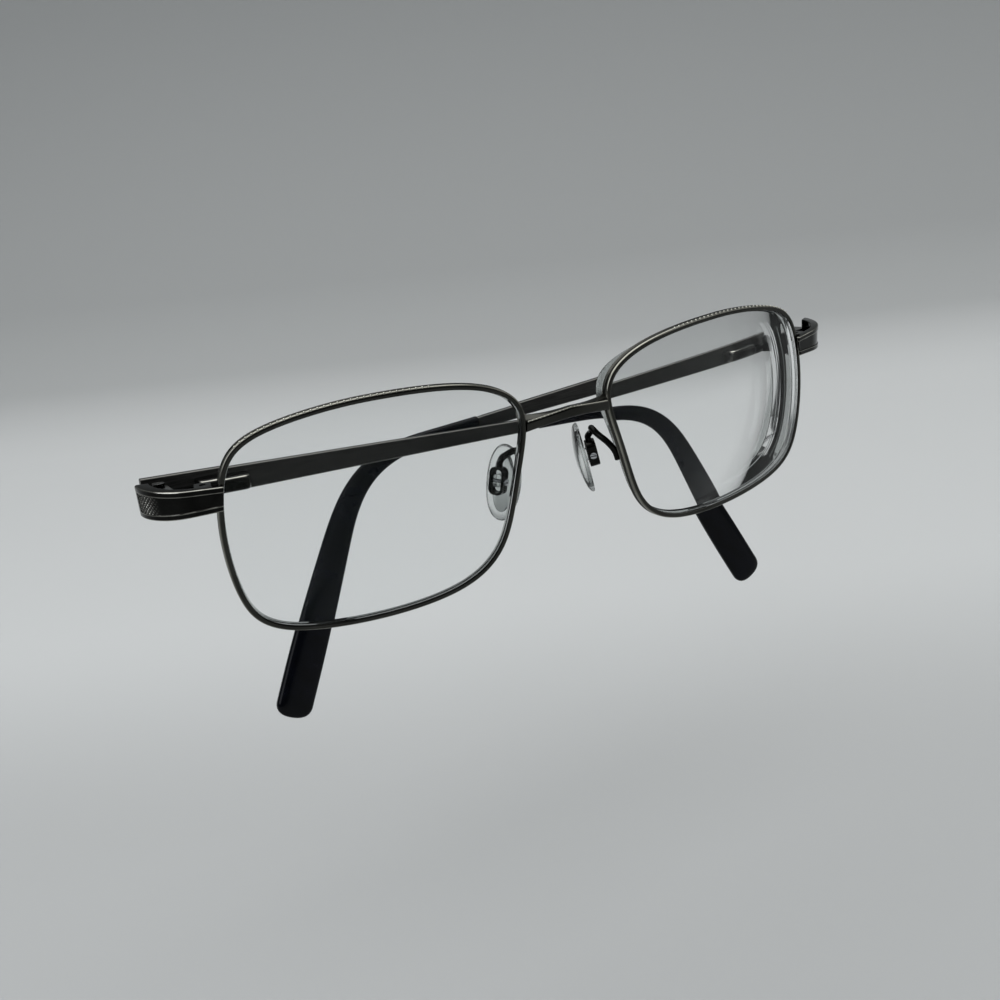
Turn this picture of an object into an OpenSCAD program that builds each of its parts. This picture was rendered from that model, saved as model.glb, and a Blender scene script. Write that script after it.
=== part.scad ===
// Rectangular metal eyeglasses with both temples folded behind the lenses.
// X runs to the wearer's left, Y runs back toward the face, Z runs up.
// The origin lies halfway between the lens centres. Pieces in pairs are drawn once and mirrored.

/* [Lenses] */
// Width of a lens at its groove line
lens_w = 53; // [48:0.5:58]
// Height of a lens at its groove line
lens_h = 38; // [34:0.5:42]
// Distance between the two lenses
nose_gap = 18; // [16:0.5:21]
// Backward turn of each lens, in degrees
wrap = 7.3; // [4:0.1:10]
// Radius of the front curve of lenses and rims
face_r = 208; // [150:1:320]
// Radius of the hollow back of the right lens
right_back_r = 160; // [110:1:260]
// Radius of the hollow back of the left lens
left_back_r = 78; // [70:1:120]
// Thickness of a lens at its centre
lens_t = 1.3; // [1:0.1:2]
// How far the lens stands in front of its groove line
lens_lead = 0.6; // [0.4:0.05:0.8]

/* [Rims] */
// Wall of the rim outside the groove
rim_wall = 0.55; // [0.45:0.05:0.8]
// Depth of the lens groove
groove_d = 0.4; // [0.3:0.05:0.5]
// Half width of the lens groove
groove_half = 0.3; // [0.2:0.02:0.4]
// Depth of the rim wire from front to back
rim_d = 1.7; // [1.5:0.1:2.2]
// Opening where the rim is split
split_gap = 0.2; // [0.1:0.05:0.4]

/* [End pieces] */
// Height of the end piece at the temple
end_h = 5.2; // [4.8:0.1:5.6]
// Height of the end piece where it laps the rim
end_rim_h = 4; // [3.7:0.1:4.3]
// How far the middle of the end piece rises toward the temple
end_lift = 0.15; // [0:0.05:0.3]
// Height of the middle of the end piece above the lens centres
end_z = 7.8; // [5:0.1:9]
// How far the end piece reaches over the front of the rim
end_lap = 0.6; // [0.4:0.05:0.9]
// Straight run of the end piece outside the rim
end_run = 4.4; // [4.1:0.1:6]
// Outer radius of the bend in the end piece
end_r = 8.6; // [7.5:0.1:10]
// Thickness of the end piece where it laps the rim
end_lip = 0.6; // [0.5:0.05:0.8]
// Thickness of the end piece in front of the closing blocks
end_wall = 1.4; // [1.2:0.05:1.6]
// Thickness of the end piece where it meets the temple
end_thick = 2.1; // [1.9:0.05:2.3]
// Length of the closing blocks along the end piece
block_l = 2.6; // [2.2:0.1:3]
// Depth of the closing blocks
block_d = 2.3; // [2:0.1:2.6]
// Height of each closing block
block_h = 2; // [1.7:0.1:2.2]
// Radius of the rim screw
rim_screw_r = 0.5; // [0.4:0.05:0.6]

/* [Bridge] */
// Height of the bridge at the rims
bridge_h = 3.4; // [2.8:0.1:4.2]
// Height of the bridge at its middle
bridge_mid_h = 2.4; // [1.8:0.1:2.8]
// Height of the middle of the bridge above the lens centres
bridge_z = 9.3; // [7:0.1:10.5]
// How far the middle of the bridge stands ahead of its ends
bridge_bow = 1.6; // [0.8:0.1:2.4]
// Thickness of the bridge from front to back
bridge_t = 1.5; // [1.2:0.1:1.8]

/* [Hinges] */
// Radius of the hinge barrel
barrel_r = 1.5; // [1.4:0.05:1.7]
// Height of the middle knuckle
middle_h = 1.2; // [1.1:0.1:1.4]
// Height of each outer knuckle
outer_h = 1; // [0.9:0.05:1.1]
// How far the hinge lies below the middle of the end piece
hinge_drop = 0.85; // [0.6:0.05:1]
// Radius of the hinge screw
hinge_screw_r = 0.6; // [0.5:0.05:0.7]
// Distance from the hinge axis to the middle of the temple plate
plate_off = 3.2; // [3:0.1:3.5]
// Distance from the hinge axis to the butt end of the temple
butt = 2.25; // [2.1:0.05:2.6]
// Downward slope of the open temples, in degrees
droop = 5; // [2:0.5:8]
// Slope of the folded right temple, in degrees
right_slope = 4; // [3.6:0.1:4.4]
// Slope of the folded left temple, in degrees
left_slope = 2; // [1.6:0.1:2.4]
// Turn of the folded right temple, in degrees
right_fold = -0.3; // [-0.6:0.1:-0.1]
// Turn of the folded left temple, in degrees
left_fold = 1.5; // [1.3:0.1:2]

/* [Spring hinge] */
// Length of the spring box
box_l = 8.5; // [8.1:0.1:9.5]
// Height of the spring box
box_h = 2.6; // [2.5:0.1:2.9]
// How far the spring box stands in front of the hinge axis
box_front = 1.3; // [1.2:0.05:1.5]
// Distance from the hinge axis to the mouth of the spring box
box_gap = 6.4; // [5.8:0.1:7]
// Radius of the bore in the spring box
bore_r = 0.9; // [0.85:0.05:0.95]
// Radius of the sliding rod
rod_r = 0.45; // [0.4:0.05:0.5]
// Travel of the spring hinge
flex = 1.2; // [0.8:0.1:1.4]
// Turns of the coil spring
spring_turns = 6; // [4:1:8]
// Radius of the spring wire
spring_wire = 0.14; // [0.1:0.01:0.16]
// Length of the stop bush
bush_l = 1.8; // [1.4:0.1:2]

/* [Temples] */
// Length of a temple from the hinge axis to its end, along the bend
temple_l = 145.5; // [140:0.5:150]
// Thickness of the temple plate
plate_t = 1.2; // [1:0.05:1.3]
// Height of the temple at its butt end
butt_h = 4.8; // [4.4:0.1:5]
// How far the middle of the temple plate lies above the hinge at its butt end
plate_lift = 0.3; // [0.1:0.05:0.4]
// Height of the temple plate where the tip starts
neck_h = 2.4; // [2.1:0.1:2.6]
// Distance from the hinge axis to the start of the tip
tip_start = 74; // [70:0.5:78]
// Distance from the hinge axis to the start of the bend
bend_start = 80; // [78:0.2:84]
// Length of the bend
bend_l = 36; // [32:0.5:40]
// Angle of the bend, in degrees
bend_deg = 60.5; // [55:0.5:66]
// Inward bow of the temple end
temple_bow = 4.5; // [3:0.1:5]
// Height of the tip sleeve at its start
sleeve_h = 2.8; // [2.6:0.1:3.1]
// Height of the tip near its end
tip_h = 6.9; // [6.3:0.1:7.3]
// Thickness of the tip sleeve at its start
sleeve_t = 1.75; // [1.7:0.05:1.9]
// Thickness of the tip near its end
tip_t = 2.3; // [2:0.1:2.6]
// Height of the metal core inside the tip
core_h = 1.3; // [1:0.1:1.5]
// Thickness of the metal core inside the tip
core_t = 0.7; // [0.5:0.05:0.8]
// Bare plastic beyond the end of the core
core_stop = 14; // [10:1:20]

/* [Nose pads] */
// Distance from the middle of the nose gap to the middle of a pad
pad_x = 8.7; // [8.4:0.1:9.2]
// Distance of the pads behind the lens centres
pad_y = 7.6; // [7.2:0.1:8.2]
// Height of the middle of the pads
pad_z = -4.2; // [-4.8:0.1:-3.6]
// Length of a pad
pad_l = 14.5; // [13:0.1:16]
// Width of a pad
pad_w = 6.9; // [6.5:0.1:7.5]
// Thickness of a pad
pad_t = 2; // [1.7:0.1:2.3]
// Outward lean of the foot of a pad, in degrees
pad_lean = 12; // [9:1:15]
// Outward turn of the rear edge of a pad, in degrees
pad_splay = 26; // [22:1:30]
// Width of the pad box
clasp_w = 3; // [2.8:0.1:3.4]
// Length of the pad box
clasp_l = 5.2; // [4.8:0.1:5.6]
// Height of the middle of the pad box above the middle of the pad
clasp_z = 0.6; // [0:0.1:1]
// Depth of the pad box
clasp_d = 1.9; // [1.7:0.1:2.1]
// Wall of the pad box
clasp_wall = 0.45; // [0.4:0.05:0.5]
// Radius of the pad screw
pad_screw_r = 0.35; // [0.3:0.01:0.4]
// Radius of the pad arm wire
wire_r = 0.6; // [0.5:0.05:0.65]

/* [Clearances] */
// Running fit of each pin in its bore
run_fit = 0.03; // [0.02:0.01:0.06]
// Gap between pieces that lie side by side
seam = 0.05; // [0.03:0.01:0.08]
// Gap between the open temple and the end piece
butt_gap = 0.3; // [0.2:0.05:0.4]

/* [Hidden] */
right = -1;
left = 1;
$fn = 48;

gunmetal = "#4a4a47";
dark_metal = "#383836";
steel = "#8d8f92";
clear_resin = "#dfe6e6";
black_plastic = "#101216";
soft_clear = "#e8ebea";

// Outline of a lens. Its unit form is a superellipse with one exponent for each corner,
// a slanted nose side, a rounded temple side, a flatter top and a fuller foot.
lens_x = (lens_w + nose_gap) / 2;
corner_power = [8.6, 4.65, 5.0, 7.5];
nose_slant = 0.179;
temple_rounding = 0.116;
top_drop = 0.175;
foot_fill = 0.143;
outline_n = 80;
corner_pull = 8.6;

function clip(v) = min(max(v, 0), 1);
function ease(v) = clip(v) * clip(v) * (3 - 2 * clip(v));
function spread(t) = t + corner_pull * sin(4 * t);
function unit_form(phi) =
    let (
        power = corner_power[floor((phi % 360 + 360) % 360 / 90)],
        r = pow(pow(abs(cos(phi)), power) + pow(abs(sin(phi)), power), -1 / power),
        u = r * cos(phi),
        v = r * sin(phi),
        nose = u < 0 ? -nose_slant * v * abs(u) : 0,
        temple = u > 0 ? -temple_rounding * v * v * u : 0,
        top = v > 0 ? -top_drop * u * u * v : 0,
        foot = v < 0 ? foot_fill * u * u * abs(v) : 0
    )
    [u + nose + temple, v + top + foot];

form_grid = [for (t = [0:1:359]) unit_form(spread(t))];
form_lo = [min([for (p = form_grid) p.x]), min([for (p = form_grid) p.y])];
form_hi = [max([for (p = form_grid) p.x]), max([for (p = form_grid) p.y])];
form_mid = (form_lo + form_hi) / 2;
form_span = form_hi - form_lo;

function lens_point(t) =
    let (p = unit_form(spread(t)) - form_mid)
    [p.x * lens_w / form_span.x, p.y * lens_h / form_span.y];
function lens_normal(t) =
    let (d = lens_point(t + 0.5) - lens_point(t - 0.5))
    [d.y, -d.x] / norm(d);
function lens_edge(t, out) = lens_point(t) + out * lens_normal(t);
function face_bow(p) = face_r - sqrt(face_r * face_r - p.x * p.x - p.y * p.y);
function lens_outline(out) = [for (i = [0:outline_n - 1]) lens_edge(360 * i / outline_n, out)];

// Place of a point of the left lens in the whole frame, and the outline angle at a height
function from_lens(p, y) = [
    lens_x + p.x * cos(wrap) - y * sin(wrap),
    p.x * sin(wrap) + y * cos(wrap),
    p.y
];
side_angles = [-34:2:34];
temple_table = [for (t = side_angles) [lens_point(t).y, t]];
nose_table = [for (t = side_angles) [lens_point(180 - t).y, 180 - t]];
function temple_angle(z) = lookup(z, temple_table);
function nose_angle(z) = lookup(z, nose_table);

// Seat of the end piece on the rim
seat_angle = temple_angle(end_z);
seat_point = lens_point(seat_angle);
seat = from_lens(seat_point, face_bow(seat_point));
seat_turn = wrap + asin(seat_point.x / face_r);
end_turn = 90 - seat_turn;
function in_seat(q) = [
    (q.x - seat.x) * cos(seat_turn) + (q.y - seat.y) * sin(seat_turn),
    -(q.x - seat.x) * sin(seat_turn) + (q.y - seat.y) * cos(seat_turn)
];
function rim_corner(z, back) =
    let (t = temple_angle(z))
    in_seat(from_lens(lens_edge(t, rim_wall), face_bow(lens_point(t)) + back));
end_rows = [for (k = [-4:4]) end_z + (end_h + end_rim_h) / 4 * k / 4];
end_face = min([for (z = end_rows) rim_corner(z, -rim_d / 2).y]) - seam - end_lip;
end_step = max([for (z = end_rows) rim_corner(z, rim_d / 2).x]) + seam;
end_inner_r = end_r - (end_thick - end_wall * cos(end_turn)) / (1 - cos(end_turn));
end_dir = [sin(end_turn), -cos(end_turn)];
end_tip = [end_run, end_face + end_r] + end_r * end_dir;
function from_seat(p) = [
    seat.x + p.x * cos(seat_turn) - p.y * sin(seat_turn),
    seat.y + p.x * sin(seat_turn) + p.y * cos(seat_turn)
];
end_corner = from_seat(end_tip);

// Hinge axis of the left temple, behind the end piece
hinge_inset = 0.3;
hinge = [
    end_corner.x - hinge_inset - plate_t / 2 - plate_off,
    end_corner.y + butt_gap + butt,
    end_z - hinge_drop
];
knuckle_z = middle_h / 2 + seam;
hinge_top = knuckle_z + outer_h;
leaf_back = barrel_r + 0.25;
leaf_front = 5;
leaf_in = 1.2;
screw_head_h = 0.45;
slot_w = 0.3;
slot_d = 0.25;

// Spring box, along the folded temple
plate_face = plate_off - plate_t / 2;
neck_half = middle_h / 2;
box_end = box_gap + box_l;
bush_from = box_gap + 0.2;
bush_to = bush_from + bush_l;
head_l = 0.6;
rod_end = bush_to + 2 * spring_wire * (spring_turns + 1) + 2 * flex + head_l;
bore_end = rod_end + 0.15;
head_r = bore_r - 2 * seam;
spring_mean_r = (rod_r + bore_r) / 2;
spring_from = bush_to + spring_wire;
spring_to = rod_end - head_l - spring_wire;

// Middle line of a temple: distance along it, height below the hinge, and lean of the bend
line_step = 0.5;
line_n = ceil(temple_l / line_step);
function bend_part(s) = clip((s - bend_start) / bend_l);
function lean(s) = bend_deg * (bend_part(s) - sin(360 * bend_part(s)) / (2 * PI));
temple_line = [
    for (
        i = 0, x = 0, z = 0;
        i <= line_n;
        x = x + cos(lean(i * line_step)) * line_step,
        z = z - sin(lean(i * line_step)) * line_step,
        i = i + 1
    ) [i * line_step, x, z]
];
line_x = [for (p = temple_line) [p[0], p[1]]];
line_z = [for (p = temple_line) [p[0], p[2]]];
bow_start = 60;
function temple_point(s) = [
    lookup(s, line_x),
    plate_off - temple_bow * pow(clip((s - bow_start) / (temple_l - bow_start)), 2),
    lookup(s, line_z)
];
function temple_ring(s, half_h, half_t, power, sides) =
    let (c = temple_point(s), a = lean(s))
    [for (k = [0:sides - 1])
        let (
            b = 360 * (k + 0.5) / sides,
            up = half_h * sign(sin(b)) * pow(abs(sin(b)), 2 / power),
            out = half_t * sign(cos(b)) * pow(abs(cos(b)), 2 / power)
        )
        c + [up * sin(a), out, up * cos(a)]
    ];
widen_from = bend_start;
widen_to = temple_l - 8;
end_round = 2.6;
function tip_grow(s) = ease((s - widen_from) / (widen_to - widen_from));
function tip_close(s) = pow(max(1 - pow(clip((s - temple_l + end_round) / end_round), 3), 0.02), 1 / 3);
function tip_half_h(s) = (sleeve_h + (tip_h - sleeve_h) * tip_grow(s)) / 2 * tip_close(s);
function tip_half_t(s) = (sleeve_t + (tip_t - sleeve_t) * tip_grow(s)) / 2 * (0.4 + 0.6 * tip_close(s));
tip_steps = concat(
    [for (i = [0:24]) tip_start + (temple_l - end_round - tip_start) * i / 24],
    [for (q = [0.35, 0.65, 0.85, 1]) temple_l - end_round + end_round * q]
);
core_from = tip_start - 1;
core_to = temple_l - core_stop;

// Pad frame: X away from the nose, Y back, Z along the pad
pad_centre = [pad_x, pad_y, pad_z];
function from_pad(p) =
    let (
        a = [p.x * cos(pad_splay) + p.y * sin(pad_splay), -p.x * sin(pad_splay) + p.y * cos(pad_splay), p.z]
    )
    pad_centre + [a.x * cos(pad_lean) - a.z * sin(pad_lean), a.y, a.x * sin(pad_lean) + a.z * cos(pad_lean)];
function pad_way(p) = from_pad(p) - pad_centre;
pad_back = pad_t * 0.4;
rock_gap = 0.4;
clasp_from = pad_back + rock_gap;
clasp_to = clasp_from + clasp_d;
pad_axis_x = (clasp_from + clasp_to) / 2;
lug_w = clasp_w - 2 * clasp_wall - 0.5;
lug_l = 2.4;
lug_to = clasp_to - 0.35;
pad_curve = 22;

// Route of the pad arm: up along the back of the rim, over a loop and down to the pad box.
// A row holds the height above the foot, the distance outside the lens and the gap behind the rim.
foot_z = -3;
loop_rows = [
    [0, 0.3, 0], [1.4, 0.35, 0], [2.8, 0.7, 0.15], [4.2, 1.1, 0.9], [5.4, 1.4, 2.2], [6.2, 1.2, 3.6]
];
function behind_rim(z, out, gap) =
    let (t = nose_angle(z))
    from_lens(lens_edge(t, out), face_bow(lens_point(t)) + rim_d / 2 + seam + wire_r + gap);
arm_end = from_pad([pad_axis_x, 0, clasp_z + clasp_l / 2]);
arm_up = pad_way([0, 0, 1]);
arm_stations = concat(
    [for (r = loop_rows) behind_rim(foot_z + r[0], r[1], r[2])],
    [arm_end + [-0.2, -1.4, 2.2], arm_end + 0.9 * arm_up, arm_end]
);
function spline(p, i, f) =
    let (
        a = p[max(i - 1, 0)], b = p[i], c = p[i + 1], d = p[min(i + 2, len(p) - 1)]
    )
    0.5 * (2 * b + (c - a) * f + (2 * a - 5 * b + 4 * c - d) * f * f + (3 * b - a - 3 * c + d) * f * f * f);
arm_route = concat(
    [for (i = [0:len(arm_stations) - 2]) for (f = [0:0.25:0.75]) spline(arm_stations, i, f)],
    [arm_end]
);

// Rings of a round wire along a route, turned as little as the route allows
function unit(v) = v / norm(v);
function way(p, i) =
    i == 0 ? unit(p[1] - p[0]) : i == len(p) - 1 ? unit(p[i] - p[i - 1]) : unit(p[i + 1] - p[i - 1]);
function wire_rings(p, r, sides, first, last) = [
    for (i = [0:len(p) - 1])
        let (
            d = i == 0 ? first : i == len(p) - 1 ? last : way(p, i),
            side = unit(cross(d, [1, 0, 0])),
            up = cross(side, d)
        )
        [for (k = [0:sides - 1]) p[i] + r * (cos(360 * k / sides) * side - sin(360 * k / sides) * up)]
];

// A closed solid through rings of equally many points. cap splits an end that isn't convex.
module skin(rings, cap = []) {
    n = len(rings[0]);
    m = len(rings);
    points = [for (ring = rings) for (p = ring) p];
    walls = [
        for (i = [0:m - 2]) for (k = [0:n - 1])
            let (a = i * n + k, b = i * n + (k + 1) % n)
            each [[a, b + n, b], [a, a + n, b + n]]
    ];
    first = len(cap) > 0 ? cap : [[for (k = [0:n - 1]) k]];
    last = [for (f = first) [for (k = [len(f) - 1:-1:0]) (m - 1) * n + f[k]]];
    polyhedron(points, concat(walls, first, last), convexity = 8);
}

module from_left(side) {
    if (side == left) children();
    else mirror([1, 0, 0]) children();
}

module from_right(side) {
    if (side == right) children();
    else mirror([1, 0, 0]) children();
}

module lens_frame() {
    translate([lens_x, 0, 0]) rotate([0, 0, wrap]) children();
}

module seat_frame() {
    translate(seat) rotate([0, 0, seat_turn]) children();
}

// Frame of a hinge before its temple is turned: Z along the axis, X inward, Y back
module hinge_frame(side) {
    slope = side == right ? right_slope : left_slope;
    from_right(side)
        translate([-hinge.x, hinge.y, hinge.z]) rotate([0, slope, 0]) rotate([-droop, 0, 0]) children();
}

module temple_frame(side) {
    fold = side == right ? right_fold : left_fold;
    hinge_frame(side) rotate([0, 0, fold]) children();
}

module pad_frame() {
    translate(pad_centre) rotate([0, -pad_lean, 0]) rotate([0, 0, -pad_splay]) children();
}

module along_x(from, to, r) {
    translate([from, 0, 0]) rotate([0, 90, 0]) cylinder(h = to - from, r = r);
}

module slab(lo, hi) {
    translate(lo) cube(hi - lo);
}

module bridge() {
    low_end = bridge_z - bridge_h / 2;
    top_end = bridge_z + bridge_h / 2;
    arch = 8;
    side_pts = [
        for (i = [0:4])
            let (
                z = low_end + bridge_h * i / 4,
                t = nose_angle(z),
                edge = lens_edge(t, rim_wall + seam)
            )
            [from_lens(edge, face_bow(lens_point(t))).x, z]
    ];
    top_pts = [
        for (i = [1:arch - 1])
            let (f = 1 - 2 * i / arch)
            [side_pts[4].x * f, bridge_z + bridge_mid_h / 2 + (bridge_h - bridge_mid_h) / 2 * f * f]
    ];
    low_pts = [
        for (i = [1:arch - 1])
            let (f = -1 + 2 * i / arch)
            [side_pts[0].x * f, bridge_z - bridge_mid_h / 2 - (bridge_h - bridge_mid_h) / 2 * f * f]
    ];
    mirror_pts = [for (i = [4:-1:0]) [-side_pts[i].x, side_pts[i].y]];
    front_view = concat(side_pts, top_pts, mirror_pts, low_pts);
    edge_t = nose_angle(bridge_z);
    end_y = from_lens(lens_point(edge_t), face_bow(lens_point(edge_t))).y;
    half = side_pts[4].x + 1;
    bow = 12;
    plan_front = [
        for (i = [0:bow])
            let (f = -1 + 2 * i / bow)
            [half * f, end_y - bridge_t / 2 - bridge_bow * (1 - f * f)]
    ];
    plan_back = [for (i = [bow:-1:0]) plan_front[i] + [0, bridge_t]];
    color(gunmetal)
        intersection() {
            translate([0, end_y, 0]) rotate([90, 0, 0])
                linear_extrude(4 * (bridge_bow + bridge_t), center = true) polygon(front_view);
            translate([0, 0, bridge_z])
                linear_extrude(3 * bridge_h, center = true) polygon(concat(plan_front, plan_back));
        }
}

// The rim wire is a channel that is open toward the lens and split behind the end piece
module rim(side) {
    half = rim_d / 2;
    soft = rim_wall * 0.25;
    section = [
        [-groove_d, -half], [rim_wall - soft, -half], [rim_wall, -half + 2 * soft],
        [rim_wall, half - 2 * soft], [rim_wall - soft, half], [-groove_d, half],
        [-groove_d, groove_half], [0, groove_half * 0.7], [0, -groove_half * 0.7], [-groove_d, -groove_half]
    ];
    cap = [[0, 1, 2], [0, 2, 9], [9, 2, 8], [8, 2, 3], [8, 3, 7], [7, 3, 6], [6, 3, 5], [3, 4, 5]];
    from = temple_angle(end_z + split_gap / 2);
    to = temple_angle(end_z - split_gap / 2) + 360;
    rings = [
        for (i = [0:outline_n])
            let (t = from + (to - from) * i / outline_n, c = lens_point(t))
            [for (s = section)
                let (p = lens_edge(t, s[0]))
                [p.x, face_bow(c) + s[1], p.y]
            ]
    ];
    color(gunmetal)
        from_left(side) lens_frame() skin(rings, cap);
}

// A minus lens: a front ball surface, a deeper hollow back and a ridge in the groove
module lens(side) {
    back_r = side == right ? right_back_r : left_back_r;
    deep = 30;
    ridge_half = groove_half * 0.6;
    color(clear_resin, 0.35)
        from_left(side) lens_frame() {
            intersection() {
                rotate([90, 0, 0]) linear_extrude(deep, center = true)
                    polygon(lens_outline(-groove_d - seam));
                difference() {
                    translate([0, face_r - lens_lead, 0]) sphere(r = face_r, $fn = 360);
                    translate([0, back_r - lens_lead + lens_t, 0]) sphere(r = back_r, $fn = 360);
                }
            }
            intersection() {
                rotate([90, 0, 0]) linear_extrude(deep, center = true) polygon(lens_outline(-seam));
                translate([0, face_r, 0])
                    difference() {
                        sphere(r = face_r + ridge_half, $fn = 360);
                        sphere(r = face_r - ridge_half, $fn = 360);
                    }
            }
        }
}

// The end piece laps the rim, turns back through a round corner and ends square at the temple
module end_piece(side) {
    steps = 14;
    centre = [end_run, end_face + end_r];
    inner_centre = [end_run, end_face + end_wall + end_inner_r];
    outer = [
        for (i = [0:steps])
            let (a = -90 + end_turn * i / steps)
            centre + end_r * [cos(a), sin(a)]
    ];
    inner = [
        for (i = [steps:-1:0])
            let (a = -90 + end_turn * i / steps)
            inner_centre + end_inner_r * [cos(a), sin(a)]
    ];
    plan = concat(
        [[-end_lap, end_face]], outer, [end_tip - end_thick * end_dir], inner,
        [
            [end_step, end_face + end_wall],
            [end_step, end_face + end_lip],
            [-end_lap, end_face + end_lip]
        ]
    );
    face = [
        [-end_lap, -end_rim_h / 2], [end_tip.x, end_lift - end_h / 2],
        [end_tip.x, end_lift + end_h / 2], [-end_lap, end_rim_h / 2]
    ];
    color(gunmetal)
        difference() {
            from_left(side) seat_frame()
                intersection() {
                    linear_extrude(2 * end_h, center = true) polygon(plan);
                    rotate([90, 0, 0]) linear_extrude(4 * end_r, center = true) polygon(face);
                }
            hinge_frame(side) leaf();
        }
}

module closing_block(side, upper) {
    z = upper ? split_gap / 2 : -split_gap / 2 - block_h;
    color(dark_metal)
        from_left(side) seat_frame()
            difference() {
                translate([end_step, end_face + end_wall, z]) cube([block_l, block_d, block_h]);
                rim_screw_place() translate([0, 0, -block_h * 2]) cylinder(h = block_h * 4, r = rim_screw_r);
            }
}

module rim_screw_place() {
    translate([end_step + block_l / 2, end_face + end_wall + block_d / 2, 0]) children();
}

module rim_screw(side) {
    low = -split_gap / 2 - block_h;
    head = 0.9;
    color(steel)
        from_left(side) seat_frame() rim_screw_place()
            difference() {
                union() {
                    translate([0, 0, low]) cylinder(h = split_gap + 2 * block_h - 0.2, r = rim_screw_r);
                    translate([0, 0, low - screw_head_h]) cylinder(h = screw_head_h, r = head);
                }
                translate([-head, -slot_w / 2, low - screw_head_h]) cube([2 * head, slot_w, slot_d]);
            }
}

// Leaf of the front hinge, let into the inner wall of the end piece
module leaf() {
    outer_face = hinge_inset + plate_t / 2 + plate_off - end_thick;
    translate([-outer_face, -leaf_front, -hinge_top])
        cube([outer_face + leaf_in, leaf_front - leaf_back, 2 * hinge_top]);
}

module front_hinge(side) {
    color(dark_metal)
        hinge_frame(side) {
            leaf();
            difference() {
                union() {
                    for (z = [knuckle_z, -knuckle_z - outer_h]) {
                        translate([0, 0, z]) cylinder(h = outer_h, r = barrel_r);
                        translate([-barrel_r, -leaf_back - seam, z])
                            cube([barrel_r + leaf_in, leaf_back + seam, outer_h]);
                    }
                }
                translate([0, 0, -2 * hinge_top]) cylinder(h = 4 * hinge_top, r = hinge_screw_r);
                translate([-2 * barrel_r, -leaf_back - 3, -2 * hinge_top])
                    cube([4 * barrel_r, 3, 4 * hinge_top]);
            }
        }
}

module hinge_screw(side) {
    head = 1;
    color(steel)
        hinge_frame(side)
            difference() {
                union() {
                    translate([0, 0, -hinge_top]) cylinder(h = 2 * hinge_top, r = hinge_screw_r);
                    translate([0, 0, hinge_top]) cylinder(h = screw_head_h, r = head);
                }
                translate([-head, -slot_w / 2, hinge_top + screw_head_h - slot_d])
                    cube([2 * head, slot_w, slot_d]);
            }
}

// Middle knuckle with the rod that the spring pulls into the temple
module slider(side) {
    color(steel)
        temple_frame(side)
            difference() {
                union() {
                    translate([0, 0, -middle_h / 2]) cylinder(h = middle_h, r = barrel_r);
                    slab([0, -neck_half, -neck_half], [box_gap - 3 * seam, neck_half, neck_half]);
                    along_x(box_gap - 1, rod_end, rod_r);
                    along_x(rod_end - head_l, rod_end, head_r);
                }
                translate([0, 0, -middle_h]) cylinder(h = 2 * middle_h, r = hinge_screw_r + run_fit);
            }
}

module coil_spring(side) {
    turn_steps = 12;
    total = spring_turns * turn_steps;
    route = [
        for (i = [0:total])
            let (a = 360 * i / turn_steps)
            [
                spring_from + (spring_to - spring_from) * i / total,
                spring_mean_r * cos(a),
                spring_mean_r * sin(a)
            ]
    ];
    rings = [
        for (i = [0:total])
            let (
                a = 360 * i / turn_steps,
                d = way(route, i),
                out = [0, cos(a), sin(a)],
                across = cross(d, out)
            )
            [for (k = [0:5]) route[i] + spring_wire * (cos(60 * k) * out + sin(60 * k) * unit(across))]
    ];
    color(steel)
        temple_frame(side) skin(rings);
}

module stop_bush(side) {
    color(steel)
        temple_frame(side)
            difference() {
                along_x(bush_from, bush_to, bore_r);
                along_x(bush_from - 1, bush_to + 1, rod_r + run_fit);
            }
}

// Box on the inner face of the temple, with rounded front edges and a blind bore
module spring_box(side) {
    edge = 1;
    half = box_h / 2;
    color(gunmetal)
        temple_frame(side)
            difference() {
                union() {
                    slab([box_gap, -box_front + edge, -half], [box_end, plate_face, half]);
                    slab([box_gap, -box_front, -half + edge], [box_end, 0, half - edge]);
                    for (z = [edge - half, half - edge]) {
                        translate([0, edge - box_front, z]) along_x(box_gap, box_end, edge);
                    }
                }
                along_x(box_gap - 1, bore_end, bore_r);
            }
}

module core(grow, from, to) {
    steps = 16;
    skin([
        for (i = [0:steps])
            let (s = from + (to - from) * i / steps)
            temple_ring(s, core_h / 2 * sqrt(2) + grow, core_t / 2 * sqrt(2) + grow, 2, 4)
    ]);
}

module temple_arm(side) {
    plan = [
        [-butt, plate_lift + butt_h / 2], [tip_start, neck_h / 2],
        [tip_start, -neck_h / 2], [-butt, plate_lift - butt_h / 2]
    ];
    color(dark_metal)
        temple_frame(side) {
            translate([0, plate_off, 0]) rotate([90, 0, 0])
                linear_extrude(plate_t, center = true) polygon(plan);
            core(0, core_from, core_to);
        }
}

module temple_tip(side) {
    color(black_plastic)
        temple_frame(side)
            difference() {
                skin([for (s = tip_steps) temple_ring(s + seam * (1 - clip(s - tip_start)),
                    tip_half_h(s), tip_half_t(s), 3.2, 16)]);
                core(seam, core_from, core_to + 0.5);
            }
}

module pad_arm(side) {
    color(dark_metal)
        from_left(side) skin(wire_rings(arm_route, wire_r, 10, way(arm_route, 0), -arm_up));
}

// Open box that holds the lug of the pad between two walls
module pad_box(side) {
    color(dark_metal)
        from_left(side) pad_frame()
            difference() {
                translate([0, 0, clasp_z]) clasp_block(clasp_from, clasp_to, 0);
                translate([0, 0, clasp_z]) clasp_block(clasp_from - 1, clasp_to + 1, clasp_wall);
                pad_pin(clasp_w, pad_screw_r);
            }
}

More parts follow.
